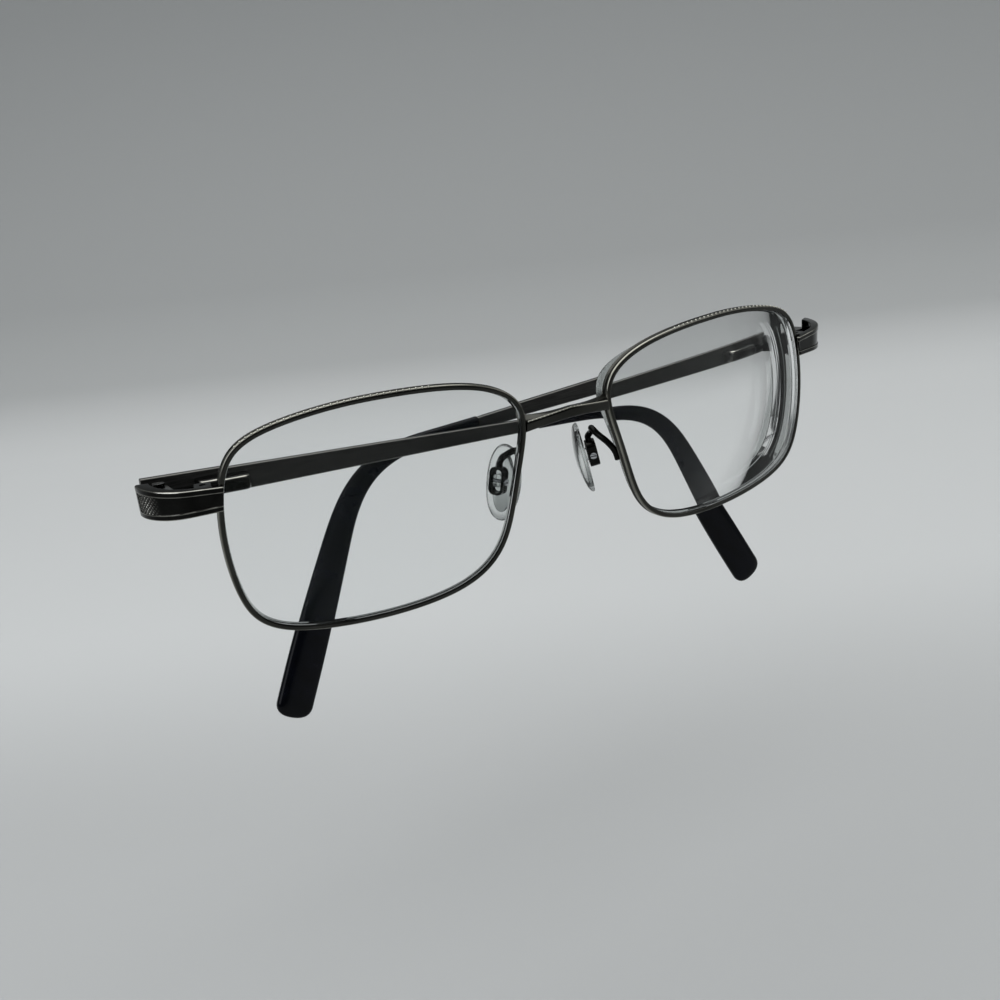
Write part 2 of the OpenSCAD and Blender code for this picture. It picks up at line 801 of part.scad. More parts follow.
module clasp_block(from, to, inset) {
    round_r = 1.1 - inset;
    half_w = clasp_w / 2 - inset;
    half_l = clasp_l / 2 - inset;
    slab([from, -half_w, -half_l + round_r], [to, half_w, half_l - round_r]);
    slab([from, -half_w + round_r, -half_l], [to, half_w - round_r, half_l]);
    for (y = [round_r - half_w, half_w - round_r]) {
        for (z = [round_r - half_l, half_l - round_r]) {
            translate([0, y, z]) along_x(from, to, round_r);
        }
    }
}

module pad_pin(l, r) {
    translate([pad_axis_x, 0, clasp_z]) rotate([90, 0, 0]) cylinder(h = l, r = r, center = true);
}

module pad_screw(side) {
    head_h = 0.35;
    head = 0.65;
    front = -clasp_w / 2;
    color(steel)
        from_left(side) pad_frame()
            difference() {
                union() {
                    pad_pin(clasp_w, pad_screw_r);
                    translate([pad_axis_x, front, clasp_z]) rotate([90, 0, 0]) cylinder(h = head_h, r = head);
                }
                translate([pad_axis_x - head, front - head_h, clasp_z - 0.1]) cube([2 * head, 0.18, 0.2]);
            }
}

// Oval pad with a crowned face toward the nose and a lug on its back
module nose_pad(side) {
    oval_n = 40;
    oval = [
        for (i = [0:oval_n - 1])
            let (a = 360 * i / oval_n)
            [
                pad_w / 2 * sign(cos(a)) * pow(abs(cos(a)), 0.9),
                pad_l / 2 * sign(sin(a)) * pow(abs(sin(a)), 0.9)
            ]
    ];
    color(soft_clear, 0.6)
        from_left(side) pad_frame()
            difference() {
                union() {
                    intersection() {
                        rotate([90, 0, 90]) linear_extrude(4 * pad_t, center = true) polygon(oval);
                        translate([pad_back - pad_t + pad_curve, 0, 0]) sphere(r = pad_curve, $fn = 120);
                        slab([-pad_t, -pad_w, -pad_l], [pad_back, pad_w, pad_l]);
                    }
                    slab([0, -lug_w / 2, clasp_z - lug_l / 2], [lug_to, lug_w / 2, clasp_z + lug_l / 2]);
                }
                pad_pin(2 * clasp_w, pad_screw_r + run_fit);
            }
}

bridge();
rim(right);  // rim_right
rim(left);  // rim_left
lens(right);  // lens_right
lens(left);  // lens_left
end_piece(right);  // end_piece_right
end_piece(left);  // end_piece_left
closing_block(right, true);  // upper_block_right
closing_block(left, true);  // upper_block_left
closing_block(right, false);  // lower_block_right
closing_block(left, false);  // lower_block_left
rim_screw(right);  // rim_screw_right
rim_screw(left);  // rim_screw_left
front_hinge(right);  // front_hinge_right
front_hinge(left);  // front_hinge_left
hinge_screw(right);  // hinge_screw_right
hinge_screw(left);  // hinge_screw_left
slider(right);  // slider_right
slider(left);  // slider_left
coil_spring(right);  // coil_spring_right
coil_spring(left);  // coil_spring_left
stop_bush(right);  // stop_bush_right
stop_bush(left);  // stop_bush_left
spring_box(right);  // spring_box_right
spring_box(left);  // spring_box_left
temple_arm(right);  // temple_arm_right
temple_arm(left);  // temple_arm_left
temple_tip(right);  // temple_tip_right
temple_tip(left);  // temple_tip_left
pad_arm(right);  // pad_arm_right
pad_arm(left);  // pad_arm_left
pad_box(right);  // pad_box_right
pad_box(left);  // pad_box_left
pad_screw(right);  // pad_screw_right
pad_screw(left);  // pad_screw_left
nose_pad(right);  // nose_pad_right
nose_pad(left);  // nose_pad_left
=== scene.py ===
import bpy
import bmesh
from math import asin, ceil, cos, floor, hypot, pi, radians, sin, sqrt
from mathutils import Matrix, Vector


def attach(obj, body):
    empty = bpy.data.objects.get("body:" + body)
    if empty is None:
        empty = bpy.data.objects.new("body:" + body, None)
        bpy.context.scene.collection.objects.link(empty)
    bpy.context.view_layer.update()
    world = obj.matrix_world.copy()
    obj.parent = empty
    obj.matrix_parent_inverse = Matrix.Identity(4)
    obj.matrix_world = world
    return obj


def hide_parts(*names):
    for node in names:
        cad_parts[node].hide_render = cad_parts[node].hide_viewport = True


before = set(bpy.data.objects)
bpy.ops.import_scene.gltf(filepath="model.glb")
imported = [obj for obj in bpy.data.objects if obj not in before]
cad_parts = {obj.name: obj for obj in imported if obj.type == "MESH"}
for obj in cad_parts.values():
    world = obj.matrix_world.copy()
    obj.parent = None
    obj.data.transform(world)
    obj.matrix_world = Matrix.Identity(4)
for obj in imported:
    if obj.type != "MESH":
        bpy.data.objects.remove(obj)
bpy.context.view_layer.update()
print("frame loaded")

mm = 0.001
sides = ("right", "left")
wallSeam = 0.05  # gap between pieces that lie side by side


# Nodes and colours
def toLinear(hexColour):
    parts = [int(hexColour[i:i + 2], 16) / 255 for i in (1, 3, 5)]
    return tuple(c / 12.92 if c <= 0.04045 else ((c + 0.055) / 1.055) ** 2.4 for c in parts) + (1,)


def addNode(tree, kind, inputs=None, **settings):
    node = tree.nodes.new(kind)
    for key, value in settings.items():
        setattr(node, key, value)
    for key, value in (inputs or {}).items():
        socket = node.inputs[key] if isinstance(key, int) else next(
            s for s in node.inputs if s.name == key and s.enabled)
        if isinstance(value, bpy.types.NodeSocket):
            tree.links.new(value, socket)
        else:
            socket.default_value = value
    return node


def newMaterial(name):
    material = bpy.data.materials.new(name)
    material.use_nodes = True
    material.node_tree.nodes.clear()
    return material, material.node_tree


def endMaterial(tree, surface):
    addNode(tree, "ShaderNodeOutputMaterial", {"Surface": surface})


def setRamp(node, stops):
    ramp = node.color_ramp
    for index, (position, colour) in enumerate(stops):
        stop = ramp.elements[index] if index < 2 else ramp.elements.new(position)
        stop.position = position
        stop.color = toLinear(colour)


# Gunmetal-plated nickel silver, barrel polished: near black in the flats and paler on the crowned edges,
# where the polishing wheel thins the plating, with fine drawn lines of about 0.1 mm.
# On the bridge's raised line the pale crown tone is a painted highlight.
platedWire = {
    "flat": "#363633", "crown": "#8b8a81", "bead": "#a9a89e", "cloud": 0.25, "mottle": 7,
    "roughness": (0.14, 0.24), "line": 0.12, "bump": 0.01,
}


def makePlatedWire(name, look):
    material, tree = newMaterial(name)
    place = addNode(tree, "ShaderNodeTexCoord")
    # Pale share per point: worn plating, and a painted highlight on the bridge's raised line, the spring
    # boxes' top edges and the end pieces' edges
    wearAndHighlight = addNode(tree, "ShaderNodeAttribute", attribute_name="wearAndHighlight")
    tone = addNode(tree, "ShaderNodeValToRGB", {"Fac": wearAndHighlight.outputs["Fac"]})
    setRamp(tone, [(0.0, look["flat"]), (1.0, look["bead"]), (0.5, look["crown"])])
    cloud = addNode(tree, "ShaderNodeTexNoise", {
        "Vector": place.outputs["Object"], "Scale": 1 / (look["mottle"] * mm),
        "Detail": 4.0, "Roughness": 0.6})
    light = addNode(tree, "ShaderNodeMapRange", {
        "Value": cloud.outputs["Fac"], "From Min": 0.3, "From Max": 0.7,
        "To Min": 1 - look["cloud"], "To Max": 1 + look["cloud"]})
    shade = addNode(tree, "ShaderNodeVectorMath", {
        0: tone.outputs["Color"], "Scale": light.outputs["Result"]}, operation="SCALE")
    grain = addNode(tree, "ShaderNodeTexNoise", {
        "Vector": place.outputs["Object"], "Scale": 1 / (look["line"] * mm), "Detail": 2.0})
    rough = addNode(tree, "ShaderNodeMapRange", {
        "Value": grain.outputs["Fac"], "To Min": look["roughness"][0], "To Max": look["roughness"][1]})
    bump = addNode(tree, "ShaderNodeBump", {
        "Height": grain.outputs["Fac"], "Strength": 0.25, "Distance": look["bump"] * mm})
    metal = addNode(tree, "ShaderNodeBsdfPrincipled", {
        "Base Color": shade.outputs["Vector"], "Metallic": 1.0,
        "Roughness": rough.outputs["Result"], "Normal": bump.outputs["Normal"]})
    endMaterial(tree, metal.outputs["BSDF"])
    return material


# The same plating where it stays dark, on end pieces, spring boxes and small parts: near black, with clear
# highlights and lines of about 0.1 mm.
# Its crown tone is also a painted highlight on the top edges and domed ends of the spring boxes and on the
# edges of the end pieces.
platedDark = {
    "flat": "#191918", "crown": "#aaa9a1", "bead": "#bdbcb3", "cloud": 0.3, "mottle": 3,
    "roughness": (0.11, 0.21), "line": 0.1, "bump": 0.01,
}

# Dark enamelled nickel silver of the temple bars: satin, brushed lengthwise in lines of about 0.15 mm.
brushedBar = {
    "low": "#181817", "high": "#333231", "edge": "#8c8b86", "metallic": 0.7, "roughness": (0.32, 0.52),
    "line": 0.15, "stretch": 40, "bump": 0.01,
}


def makeBrushedBar(name, look):
    material, tree = newMaterial(name)
    place = addNode(tree, "ShaderNodeTexCoord")
    along = addNode(tree, "ShaderNodeMapping", {
        "Vector": place.outputs["Object"], "Scale": (1 / look["stretch"], 1.0, 1.0)})
    brush = addNode(tree, "ShaderNodeTexNoise", {
        "Vector": along.outputs["Vector"], "Scale": 1 / (look["line"] * mm),
        "Detail": 3.0, "Roughness": 0.55})
    tone = addNode(tree, "ShaderNodeValToRGB", {"Fac": brush.outputs["Fac"]})
    setRamp(tone, [(0.3, look["low"]), (0.75, look["high"])])
    wearAndHighlight = addNode(tree, "ShaderNodeAttribute", attribute_name="wearAndHighlight")
    shade = addNode(tree, "ShaderNodeMix", {
        "Factor": wearAndHighlight.outputs["Fac"], "A": tone.outputs["Color"], "B": toLinear(look["edge"])},
        data_type="RGBA")
    rough = addNode(tree, "ShaderNodeMapRange", {
        "Value": brush.outputs["Fac"], "To Min": look["roughness"][0], "To Max": look["roughness"][1]})
    bump = addNode(tree, "ShaderNodeBump", {
        "Height": brush.outputs["Fac"], "Strength": 0.3, "Distance": look["bump"] * mm})
    metal = addNode(tree, "ShaderNodeBsdfPrincipled", {
        "Base Color": shade.outputs[2], "Metallic": look["metallic"],
        "Roughness": rough.outputs["Result"], "Normal": bump.outputs["Normal"]})
    endMaterial(tree, metal.outputs["BSDF"])
    return material


# Turned stainless steel of screws, springs and bushes: bright, with rings drawn 1.6 mm apart, so coarse that
# they show.
turnedSteel = {"low": "#86888b", "high": "#bcbec1", "roughness": 0.25, "ring": 1.6}


def makeTurnedSteel(name, look):
    material, tree = newMaterial(name)
    place = addNode(tree, "ShaderNodeTexCoord")
    rings = addNode(tree, "ShaderNodeTexWave", {
        "Vector": place.outputs["Object"], "Scale": 1 / (look["ring"] * mm), "Distortion": 3.0,
        "Detail": 2.0}, bands_direction="Z")
    tone = addNode(tree, "ShaderNodeValToRGB", {"Fac": rings.outputs["Fac"]})
    setRamp(tone, [(0.2, look["low"]), (0.8, look["high"])])
    metal = addNode(tree, "ShaderNodeBsdfPrincipled", {
        "Base Color": tone.outputs["Color"], "Metallic": 1.0, "Roughness": look["roughness"]})
    endMaterial(tree, metal.outputs["BSDF"])
    return material


# Black cellulose acetate, tumbled and polished: a smooth, soft shine over a faint blue-black swirl of
# about 6 mm.
polishedAcetate = {
    "deep": "#040507", "swirl": "#0a0c13", "roughness": (0.06, 0.18), "size": 6, "scuff": 0.4,
    "ior": 1.48, "gloss": 0.1,
}


def makePolishedAcetate(name, look):
    material, tree = newMaterial(name)
    place = addNode(tree, "ShaderNodeTexCoord")
    swirl = addNode(tree, "ShaderNodeTexNoise", {
        "Vector": place.outputs["Object"], "Scale": 1 / (look["size"] * mm),
        "Detail": 3.0, "Distortion": 1.2})
    tone = addNode(tree, "ShaderNodeValToRGB", {"Fac": swirl.outputs["Fac"]})
    setRamp(tone, [(0.35, look["deep"]), (0.8, look["swirl"])])
    wear = addNode(tree, "ShaderNodeTexNoise", {
        "Vector": place.outputs["Object"], "Scale": 1 / (look["scuff"] * mm), "Detail": 5.0})
    rough = addNode(tree, "ShaderNodeMapRange", {
        "Value": wear.outputs["Fac"], "To Min": look["roughness"][0], "To Max": look["roughness"][1]})
    shell = addNode(tree, "ShaderNodeBsdfPrincipled", {
        "Base Color": tone.outputs["Color"], "Roughness": rough.outputs["Result"], "IOR": look["ior"],
        "Specular IOR Level": look["gloss"], "Coat Weight": 0.05, "Coat Roughness": 0.04})
    endMaterial(tree, shell.outputs["BSDF"])
    return material


# Clear lens resin with a hard coat and an anti-reflection coat: colourless and mirror smooth, with the IOR of
# plain 1.5 resin.
# The coat takes most of the reflection away, so what lies behind the lens keeps its depth.
# Shadow rays pass straight through, because the clear resin throws hardly any shadow.
lensResin = {
    "tint": "#fafbfb", "roughness": (0.0, 0.03), "grit": 1.2, "ior": 1.5, "shadow": "#e6e9e9",
    "coat": "#444b48", "gloss": 0.15,
}

# The same resin where it was ground to fit the rim: finely frosted, so that it shows as soft grey bands.
groundResin = {
    "tint": "#8d9290", "roughness": (0.07, 0.1), "grit": 0.1, "ior": 1.5, "shadow": "#b4b8b8",
    "coat": "#ffffff", "gloss": 0.5,
}

# Silicone pads, moulded: clear and faintly milky, a softer gloss than the lens.
padSilicone = {
    "tint": "#eef0ef", "roughness": (0.12, 0.15), "grit": 0.6, "ior": 1.41, "shadow": "#d8dada",
    "coat": "#c4c6c6", "gloss": 0.4,
}

# Polycarbonate insert moulded into the pad: clearer and denser than the silicone round it.
padInsert = {
    "tint": "#d9dcdb", "roughness": (0.05, 0.08), "grit": 0.8, "ior": 1.58, "shadow": "#d0d2d2",
    "coat": "#c4c6c6", "gloss": 0.4,
}


def makeClear(name, look):
    material, tree = newMaterial(name)
    place = addNode(tree, "ShaderNodeTexCoord")
    dust = addNode(tree, "ShaderNodeTexNoise", {
        "Vector": place.outputs["Object"], "Scale": 1 / (look["grit"] * mm), "Detail": 3.0})
    rough = addNode(tree, "ShaderNodeMapRange", {
        "Value": dust.outputs["Fac"], "From Min": 0.55, "From Max": 0.9,
        "To Min": look["roughness"][0], "To Max": look["roughness"][1]})
    clear = addNode(tree, "ShaderNodeBsdfPrincipled", {
        "Base Color": toLinear(look["tint"]), "Roughness": rough.outputs["Result"],
        "IOR": look["ior"], "Transmission Weight": 1.0,
        "Specular IOR Level": look["gloss"], "Specular Tint": toLinear(look["coat"])})
    through = addNode(tree, "ShaderNodeBsdfTransparent", {"Color": toLinear(look["shadow"])})
    path = addNode(tree, "ShaderNodeLightPath")
    both = addNode(tree, "ShaderNodeMixShader", {
        0: path.outputs["Is Shadow Ray"], 1: clear.outputs["BSDF"], 2: through.outputs["BSDF"]})
    endMaterial(tree, both.outputs["Shader"])
    return material


wireMetal = makePlatedWire("gunmetalPlatedNickelSilver", platedWire)
darkMetal = makePlatedWire("darkGunmetalPlating", platedDark)
barMetal = makeBrushedBar("brushedEnamelledNickelSilver", brushedBar)
steelMetal = makeTurnedSteel("turnedStainlessSteel", turnedSteel)
tipPlastic = makePolishedAcetate("polishedCelluloseAcetate", polishedAcetate)
lensClear = makeClear("hardCoatedLensResin", lensResin)
lensGround = makeClear("groundLensEdge", groundResin)
padClear = makeClear("mouldedSilicone", padSilicone)
insertClear = makeClear("polycarbonateInsert", padInsert)
print("materials made")


# Meshes
def makePiece(name, verts, faces, material, body, slotName, nodes=(), sharp=35, wearAndHighlight=None):
    mesh = bpy.data.meshes.new(name)
    mesh.from_pydata([(x * mm, y * mm, z * mm) for x, y, z in verts], [], faces)
    work = bmesh.new()
    work.from_mesh(mesh)
    bmesh.ops.recalc_face_normals(work, faces=work.faces)
    work.to_mesh(mesh)
    work.free()
    mesh.polygons.foreach_set("use_smooth", [True] * len(mesh.polygons))
    mesh.set_sharp_from_angle(angle=radians(sharp))
    mesh.materials.append(material)
    # Pale share per point: plating wear, and a painted highlight on some pieces
    if wearAndHighlight:
        mesh.attributes.new("wearAndHighlight", "FLOAT", "POINT").data.foreach_set("value", wearAndHighlight)
    piece = bpy.data.objects.new(name, mesh)
    bpy.context.scene.collection.objects.link(piece)
    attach(piece, body)
    if nodes:
        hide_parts(*nodes)
    return piece


def skinRings(rings, closed=False, caps=True):
    n = len(rings[0])
    m = len(rings)
    verts = [p for ring in rings for p in ring]
    faces = []
    for i in range(m if closed else m - 1):
        j = (i + 1) % m
        for k in range(n):
            q = (k + 1) % n
            faces.append((i * n + k, i * n + q, j * n + q, j * n + k))
    if caps and not closed:
        faces += [tuple(range(n)), tuple((m - 1) * n + k for k in reversed(range(n)))]
    return verts, faces


def joined(parts):
    verts, faces = [], []
    for partVerts, partFaces in parts:
        base = len(verts)
        verts += partVerts
        faces += [tuple(base + i for i in face) for face in partFaces]
    return verts, faces


def bead(centre, radius, around=10, up=7):
    rings = []
    for j in range(1, up):
        a = pi * j / up - pi / 2
        rings.append([
            (centre[0] + radius * cos(a) * cos(2 * pi * k / around),
             centre[1] + radius * cos(a) * sin(2 * pi * k / around),
             centre[2] + radius * sin(a)) for k in range(around)])
    return skinRings(rings)


def mirrored(points, side):
    return [p if side == "left" else (-p[0], p[1], p[2]) for p in points]


def smoothStep(v):
    v = min(max(v, 0), 1)
    return v * v * (3 - 2 * v)


# Lens outline, from the CAD's own values
lensForm = {
    "width": 53, "height": 38, "gap": 18, "wrap": 7.3, "faceRadius": 208,
    "backRadius": {"right": 160, "left": 78}, "centre": 1.3, "lead": 0.6,
    "power": (8.6, 4.65, 5.0, 7.5), "slant": 0.179, "rounding": 0.116, "drop": 0.175, "fill": 0.143,
    "pull": 8.6,
}
lensX = (lensForm["width"] + lensForm["gap"]) / 2
wrapTurn = radians(lensForm["wrap"])


def spread(t):
    # Sets the points closer round the corners
    return t + lensForm["pull"] * sin(radians(4 * t))


def unitForm(phi):
    # Squared-off oval with its own power in each quarter, then slanted and filled out
    power = lensForm["power"][floor(phi % 360 / 90)]
    c, s = cos(radians(phi)), sin(radians(phi))
    r = (abs(c) ** power + abs(s) ** power) ** (-1 / power)
    u, v = r * c, r * s
    x = u - lensForm["slant"] * v * abs(u) if u < 0 else u - lensForm["rounding"] * v * v * u
    z = v - lensForm["drop"] * u * u * v if v > 0 else v + lensForm["fill"] * u * u * abs(v)
    return x, z


formGrid = [unitForm(spread(t)) for t in range(360)]
formLow = [min(p[i] for p in formGrid) for i in (0, 1)]
formHigh = [max(p[i] for p in formGrid) for i in (0, 1)]


def lensPoint(t):
    p = unitForm(spread(t))
    size = (lensForm["width"], lensForm["height"])
    middle = [(formLow[i] + formHigh[i]) / 2 for i in (0, 1)]
    return tuple((p[i] - middle[i]) * size[i] / (formHigh[i] - formLow[i]) for i in (0, 1))


def lensEdge(t, out):
    # Point beside the outline, a distance outside it
    a, b = lensPoint(t - 0.5), lensPoint(t + 0.5)
    d = (b[0] - a[0], b[1] - a[1])
    length = hypot(*d)
    p = lensPoint(t)
    return p[0] + out * d[1] / length, p[1] - out * d[0] / length


def faceBow(p):
    # How far the front curve of the face falls back
    return lensForm["faceRadius"] - sqrt(lensForm["faceRadius"] ** 2 - p[0] ** 2 - p[1] ** 2)


def fromLens(p, y):
    # From the plane of the left lens to the glasses
    return (lensX + p[0] * cos(wrapTurn) - y * sin(wrapTurn), p[0] * sin(wrapTurn) + y * cos(wrapTurn), p[1])


def onRim(t, out, back):
    # Point on the rim: outside the outline, and behind its middle line
    return fromLens(lensEdge(t, out), faceBow(lensPoint(t)) + back)


def angleAt(z, noseSide):
    # Angle at which the lens outline has the height z, on its nose side or its temple side
    angles = [180 - t if noseSide else t for t in range(-34, 35, 2)]
    table = sorted((lensPoint(t)[1], t) for t in angles)
    for (lowZ, lowT), (highZ, highT) in zip(table, table[1:]):
        if z <= highZ:
            return lowT + (highT - lowT) * (z - lowZ) / (highZ - lowZ)
    return table[-1][1]


rimForm = {"wall": 0.55, "groove": 0.4, "depth": 1.7, "split": 0.2, "stations": 400}
rimHalf = rimForm["depth"] / 2
# Front half of the wire's section, as distance outside the lens, depth and share of the plating worn:
# a crowned edge beside the shallow channel in the middle
rimCrown = [
    (-0.40, -0.70, 0), (-0.37, -0.80, 0), (-0.29, -0.85, 0), (-0.05, -0.85, 0), (0.22, -0.84, 0),
    (0.36, -0.80, 0.15), (0.46, -0.71, 0.4), (0.53, -0.58, 0.5), (0.55, -0.44, 0.3), (0.54, -0.30, 0),
    (0.47, -0.20, 0),
]
rimChannel = [(0.43, 0.0, 0)]
rimGroove = [(-0.40, 0.30, 0), (0.0, 0.21, 0), (0.0, -0.21, 0), (-0.40, -0.30, 0)]
rimSection = rimCrown + rimChannel + [(out, -deep, rubAndHighlight) for out, deep, rubAndHighlight in reversed(rimCrown)] + rimGroove
# Beads rolled into the upper front edge, from the temple corner to the top
beadRow = {
    "from": 46, "to": 104, "steps": 300, "pitch": 1.1, "radius": 0.24, "out": 0.44, "depth": -0.62,
    "rubAndHighlight": 1.0,
}
endZ = 7.8


def beadsAlong(points, pitch, radius):
    made = []
    gone, nextAt = 0.0, 0.0
    for a, b in zip(points, points[1:]):
        step = (Vector(b) - Vector(a)).length
        while nextAt <= gone + step:
            made.append(bead(Vector(a).lerp(Vector(b), (nextAt - gone) / step), radius))
            nextAt += pitch
        gone += step
    return made


rimFrom = angleAt(endZ + rimForm["split"] / 2, False)
rimTo = angleAt(endZ - rimForm["split"] / 2, False) + 360
for side in sides:
    rings = []
    for i in range(rimForm["stations"] + 1):
        t = rimFrom + (rimTo - rimFrom) * i / rimForm["stations"]
        rings.append(mirrored([onRim(t, out, back) for out, back, _ in rimSection], side))
    along = [beadRow["from"] + (beadRow["to"] - beadRow["from"]) * i / beadRow["steps"]
             for i in range(beadRow["steps"] + 1)]
    row = mirrored([onRim(t, beadRow["out"], beadRow["depth"]) for t in along], side)
    wire = skinRings(rings)
    beads = beadsAlong(row, beadRow["pitch"], beadRow["radius"])
    wearAndHighlight = [rubAndHighlight for _ in rings for _, _, rubAndHighlight in rimSection]
    wearAndHighlight += [beadRow["rubAndHighlight"]] * sum(len(verts) for verts, _ in beads)
    makePiece(f"rimWire_{side}", *joined([wire] + beads), wireMetal, "front", "gunmetal", [f"rim_{side}"],
              wearAndHighlight=wearAndHighlight)
print("rims made")


lensMesh = {
    "around": 240, "across": 26,
    "bevel": 0.18, "ridge": 0.08, "ridgeHalf": 0.04,  # the ridge that seats in the rim's groove
    "shelf": 0.95, "shelfSlope": 0.05, "shelfDepth": 0.22,  # the edge steps in behind the rim
    "chamfer": 0.2,  # and is blunted at the back
}


def backPoint(side, p, ahead=0.0):
    # Point on the hollow back of a lens, or a little ahead of it
    radius = lensForm["backRadius"][side]
    y = radius - lensForm["lead"] + lensForm["centre"] - sqrt(radius ** 2 - p[0] ** 2 - p[1] ** 2)
    return fromLens(p, y - ahead)


def lensRing(side, share, surface):
    ring = []
    for i in range(lensMesh["around"]):
        x, z = lensEdge(360 * i / lensMesh["around"], -rimForm["groove"] - wallSeam)
        p = (x * share, z * share)
        ring.append(fromLens(p, faceBow(p) - lensForm["lead"]) if surface == "front" else backPoint(side, p))
    return ring


for side in sides:
    n = lensMesh["around"]
    shares = [sqrt(k / lensMesh["across"]) for k in range(1, lensMesh["across"] + 1)]
    rimSide = -rimForm["groove"] - wallSeam
    stepped = [(rimSide, -lensMesh["bevel"]), (-lensMesh["ridge"], -lensMesh["ridgeHalf"]),
               (-lensMesh["ridge"], lensMesh["ridgeHalf"]), (rimSide, lensMesh["bevel"])]
    inner = rimSide
    if side == "left":  # only the stronger lens is thick enough to step in
        inner -= lensMesh["shelfDepth"]
        stepped += [(rimSide, lensMesh["shelf"]), (inner, lensMesh["shelf"] + lensMesh["shelfSlope"])]
    front = [lensRing(side, s, "front") for s in shares]
    ridge = [[onRim(360 * i / n, out, deep) for i in range(n)] for out, deep in stepped]
    ridge.append([backPoint(side, lensEdge(360 * i / n, inner), lensMesh["chamfer"]) for i in range(n)])
    trim = 1 - (lensMesh["chamfer"] + rimSide - inner) * 2 / lensForm["height"]
    back = [lensRing(side, s * trim, "back") for s in reversed(shares)]
    verts, faces = skinRings([mirrored(r, side) for r in front + ridge + back], caps=False)
    first, last = len(verts), len(verts) + 1
    frontY, backY = -lensForm["lead"], lensForm["centre"] - lensForm["lead"]
    verts += mirrored([fromLens((0, 0), frontY), fromLens((0, 0), backY)], side)
    base = (len(front + ridge + back) - 1) * n
    faces += [(first, (k + 1) % n, k) for k in range(n)]
    faces += [(last, base + k, base + (k + 1) % n) for k in range(n)]
    blank = makePiece(f"lensBlank_{side}", verts, faces, lensClear, "front", "lens", [f"lens_{side}"],
                      sharp=28)
    blank.data.materials.append(lensGround)
    for k in range((len(front) - 1) * n, (len(front) + len(ridge)) * n):
        blank.data.polygons[k].material_index = 1
print("lenses made")


bridgeForm = {
    "z": 9.3, "bow": 1.6, "thick": 1.5, "top": 10.4, "topFall": 1.1, "topPower": 1.3, "backRise": 1.3,
    "foot": 8.35, "footFall": 1.0, "overlap": 0.12, "squareness": 4.5, "stations": 72, "around": 28,
    "edgeLine": 0.1, "edgeReach": 0.98, "edgeAt": (0.9, -0.86), "edgeWearAndHighlight": 0.6,
    "beadPitch": 0.75, "beadRadius": 0.15, "beadReach": 0.97, "beadStop": 30, "beadAt": (0.9, -0.9),
    "beadRub": 1.0,
}


def bridgeEdgeX(z):
    t = angleAt(z, True)
    return fromLens(lensEdge(t, rimForm["wall"] - bridgeForm["overlap"]), faceBow(lensPoint(t)))[0]


bridgeT = angleAt(bridgeForm["z"], True)
bridgeY = fromLens(lensPoint(bridgeT), faceBow(lensPoint(bridgeT)))[1]
bridgeHalf = fromLens(lensEdge(bridgeT, rimForm["wall"]), 0)[0] + 1


def bridgePoint(f, up, deep):
    # The top slopes down to the front near the rims, as the bar turns over
    top = bridgeForm["top"] - bridgeForm["topFall"] * abs(f) ** bridgeForm["topPower"]
    top += bridgeForm["backRise"] * f * f * (deep + 1) / 2
    foot = bridgeForm["foot"] - bridgeForm["footFall"] * f * f
    z = (top + foot) / 2 + (top - foot) / 2 * up
    x = f * bridgeEdgeX(z)
    y = bridgeY - bridgeForm["bow"] * (1 - (x / bridgeHalf) ** 2) + bridgeForm["thick"] / 2 * deep
    return x, y, z


def roundedForm(a, power):
    # Point on a square with rounded corners; a higher power makes it squarer
    c, s = cos(a), sin(a)
    return (abs(c) ** (2 / power) * (1 if c > 0 else -1), abs(s) ** (2 / power) * (1 if s > 0 else -1))


rings = []
for i in range(bridgeForm["stations"] + 1):
    f = -1 + 2 * i / bridgeForm["stations"]
    turns = [2 * pi * (k + 0.5) / bridgeForm["around"] for k in range(bridgeForm["around"])]
    rings.append([bridgePoint(f, *roundedForm(a, bridgeForm["squareness"])) for a in turns])
# Beads run from the right rim to a little past the middle, under a thin raised line that carries a painted
# highlight
beadLine = [bridgePoint(f / 100 * bridgeForm["beadReach"], *bridgeForm["beadAt"])
            for f in range(-100, bridgeForm["beadStop"])]
upperLine = [bridgePoint(f / 100 * bridgeForm["edgeReach"], *bridgeForm["edgeAt"])
             for f in range(-100, 101)]


def wireAlong(points, radius, around=8, caps=True):
    rings = []
    for i, p in enumerate(points):
        before, after = points[max(i - 1, 0)], points[min(i + 1, len(points) - 1)]
        way = (Vector(after) - Vector(before)).normalized()
        helper = Vector((0, 0, 1)) if abs(way.z) < 0.8 else Vector((1, 0, 0))
        across = way.cross(helper).normalized()
        up = across.cross(way)
        turns = [2 * pi * k / around for k in range(around)]
        rings.append([tuple(Vector(p) + radius * (cos(a) * across + sin(a) * up)) for a in turns])
    return skinRings(rings, caps=caps)


parts = [skinRings(rings), wireAlong(upperLine, bridgeForm["edgeLine"])]
parts += beadsAlong(beadLine, bridgeForm["beadPitch"], bridgeForm["beadRadius"])
# The raised line is painted pale as a highlight along the front top edge
wearAndHighlight = [0.0] * len(parts[0][0]) + [bridgeForm["edgeWearAndHighlight"]] * len(parts[1][0])
wearAndHighlight += [bridgeForm["beadRub"]] * sum(len(verts) for verts, _ in parts[2:])
makePiece("bridgeBar", *joined(parts), wireMetal, "front", "gunmetal", ["bridge"], wearAndHighlight=wearAndHighlight)
print("bridge made")


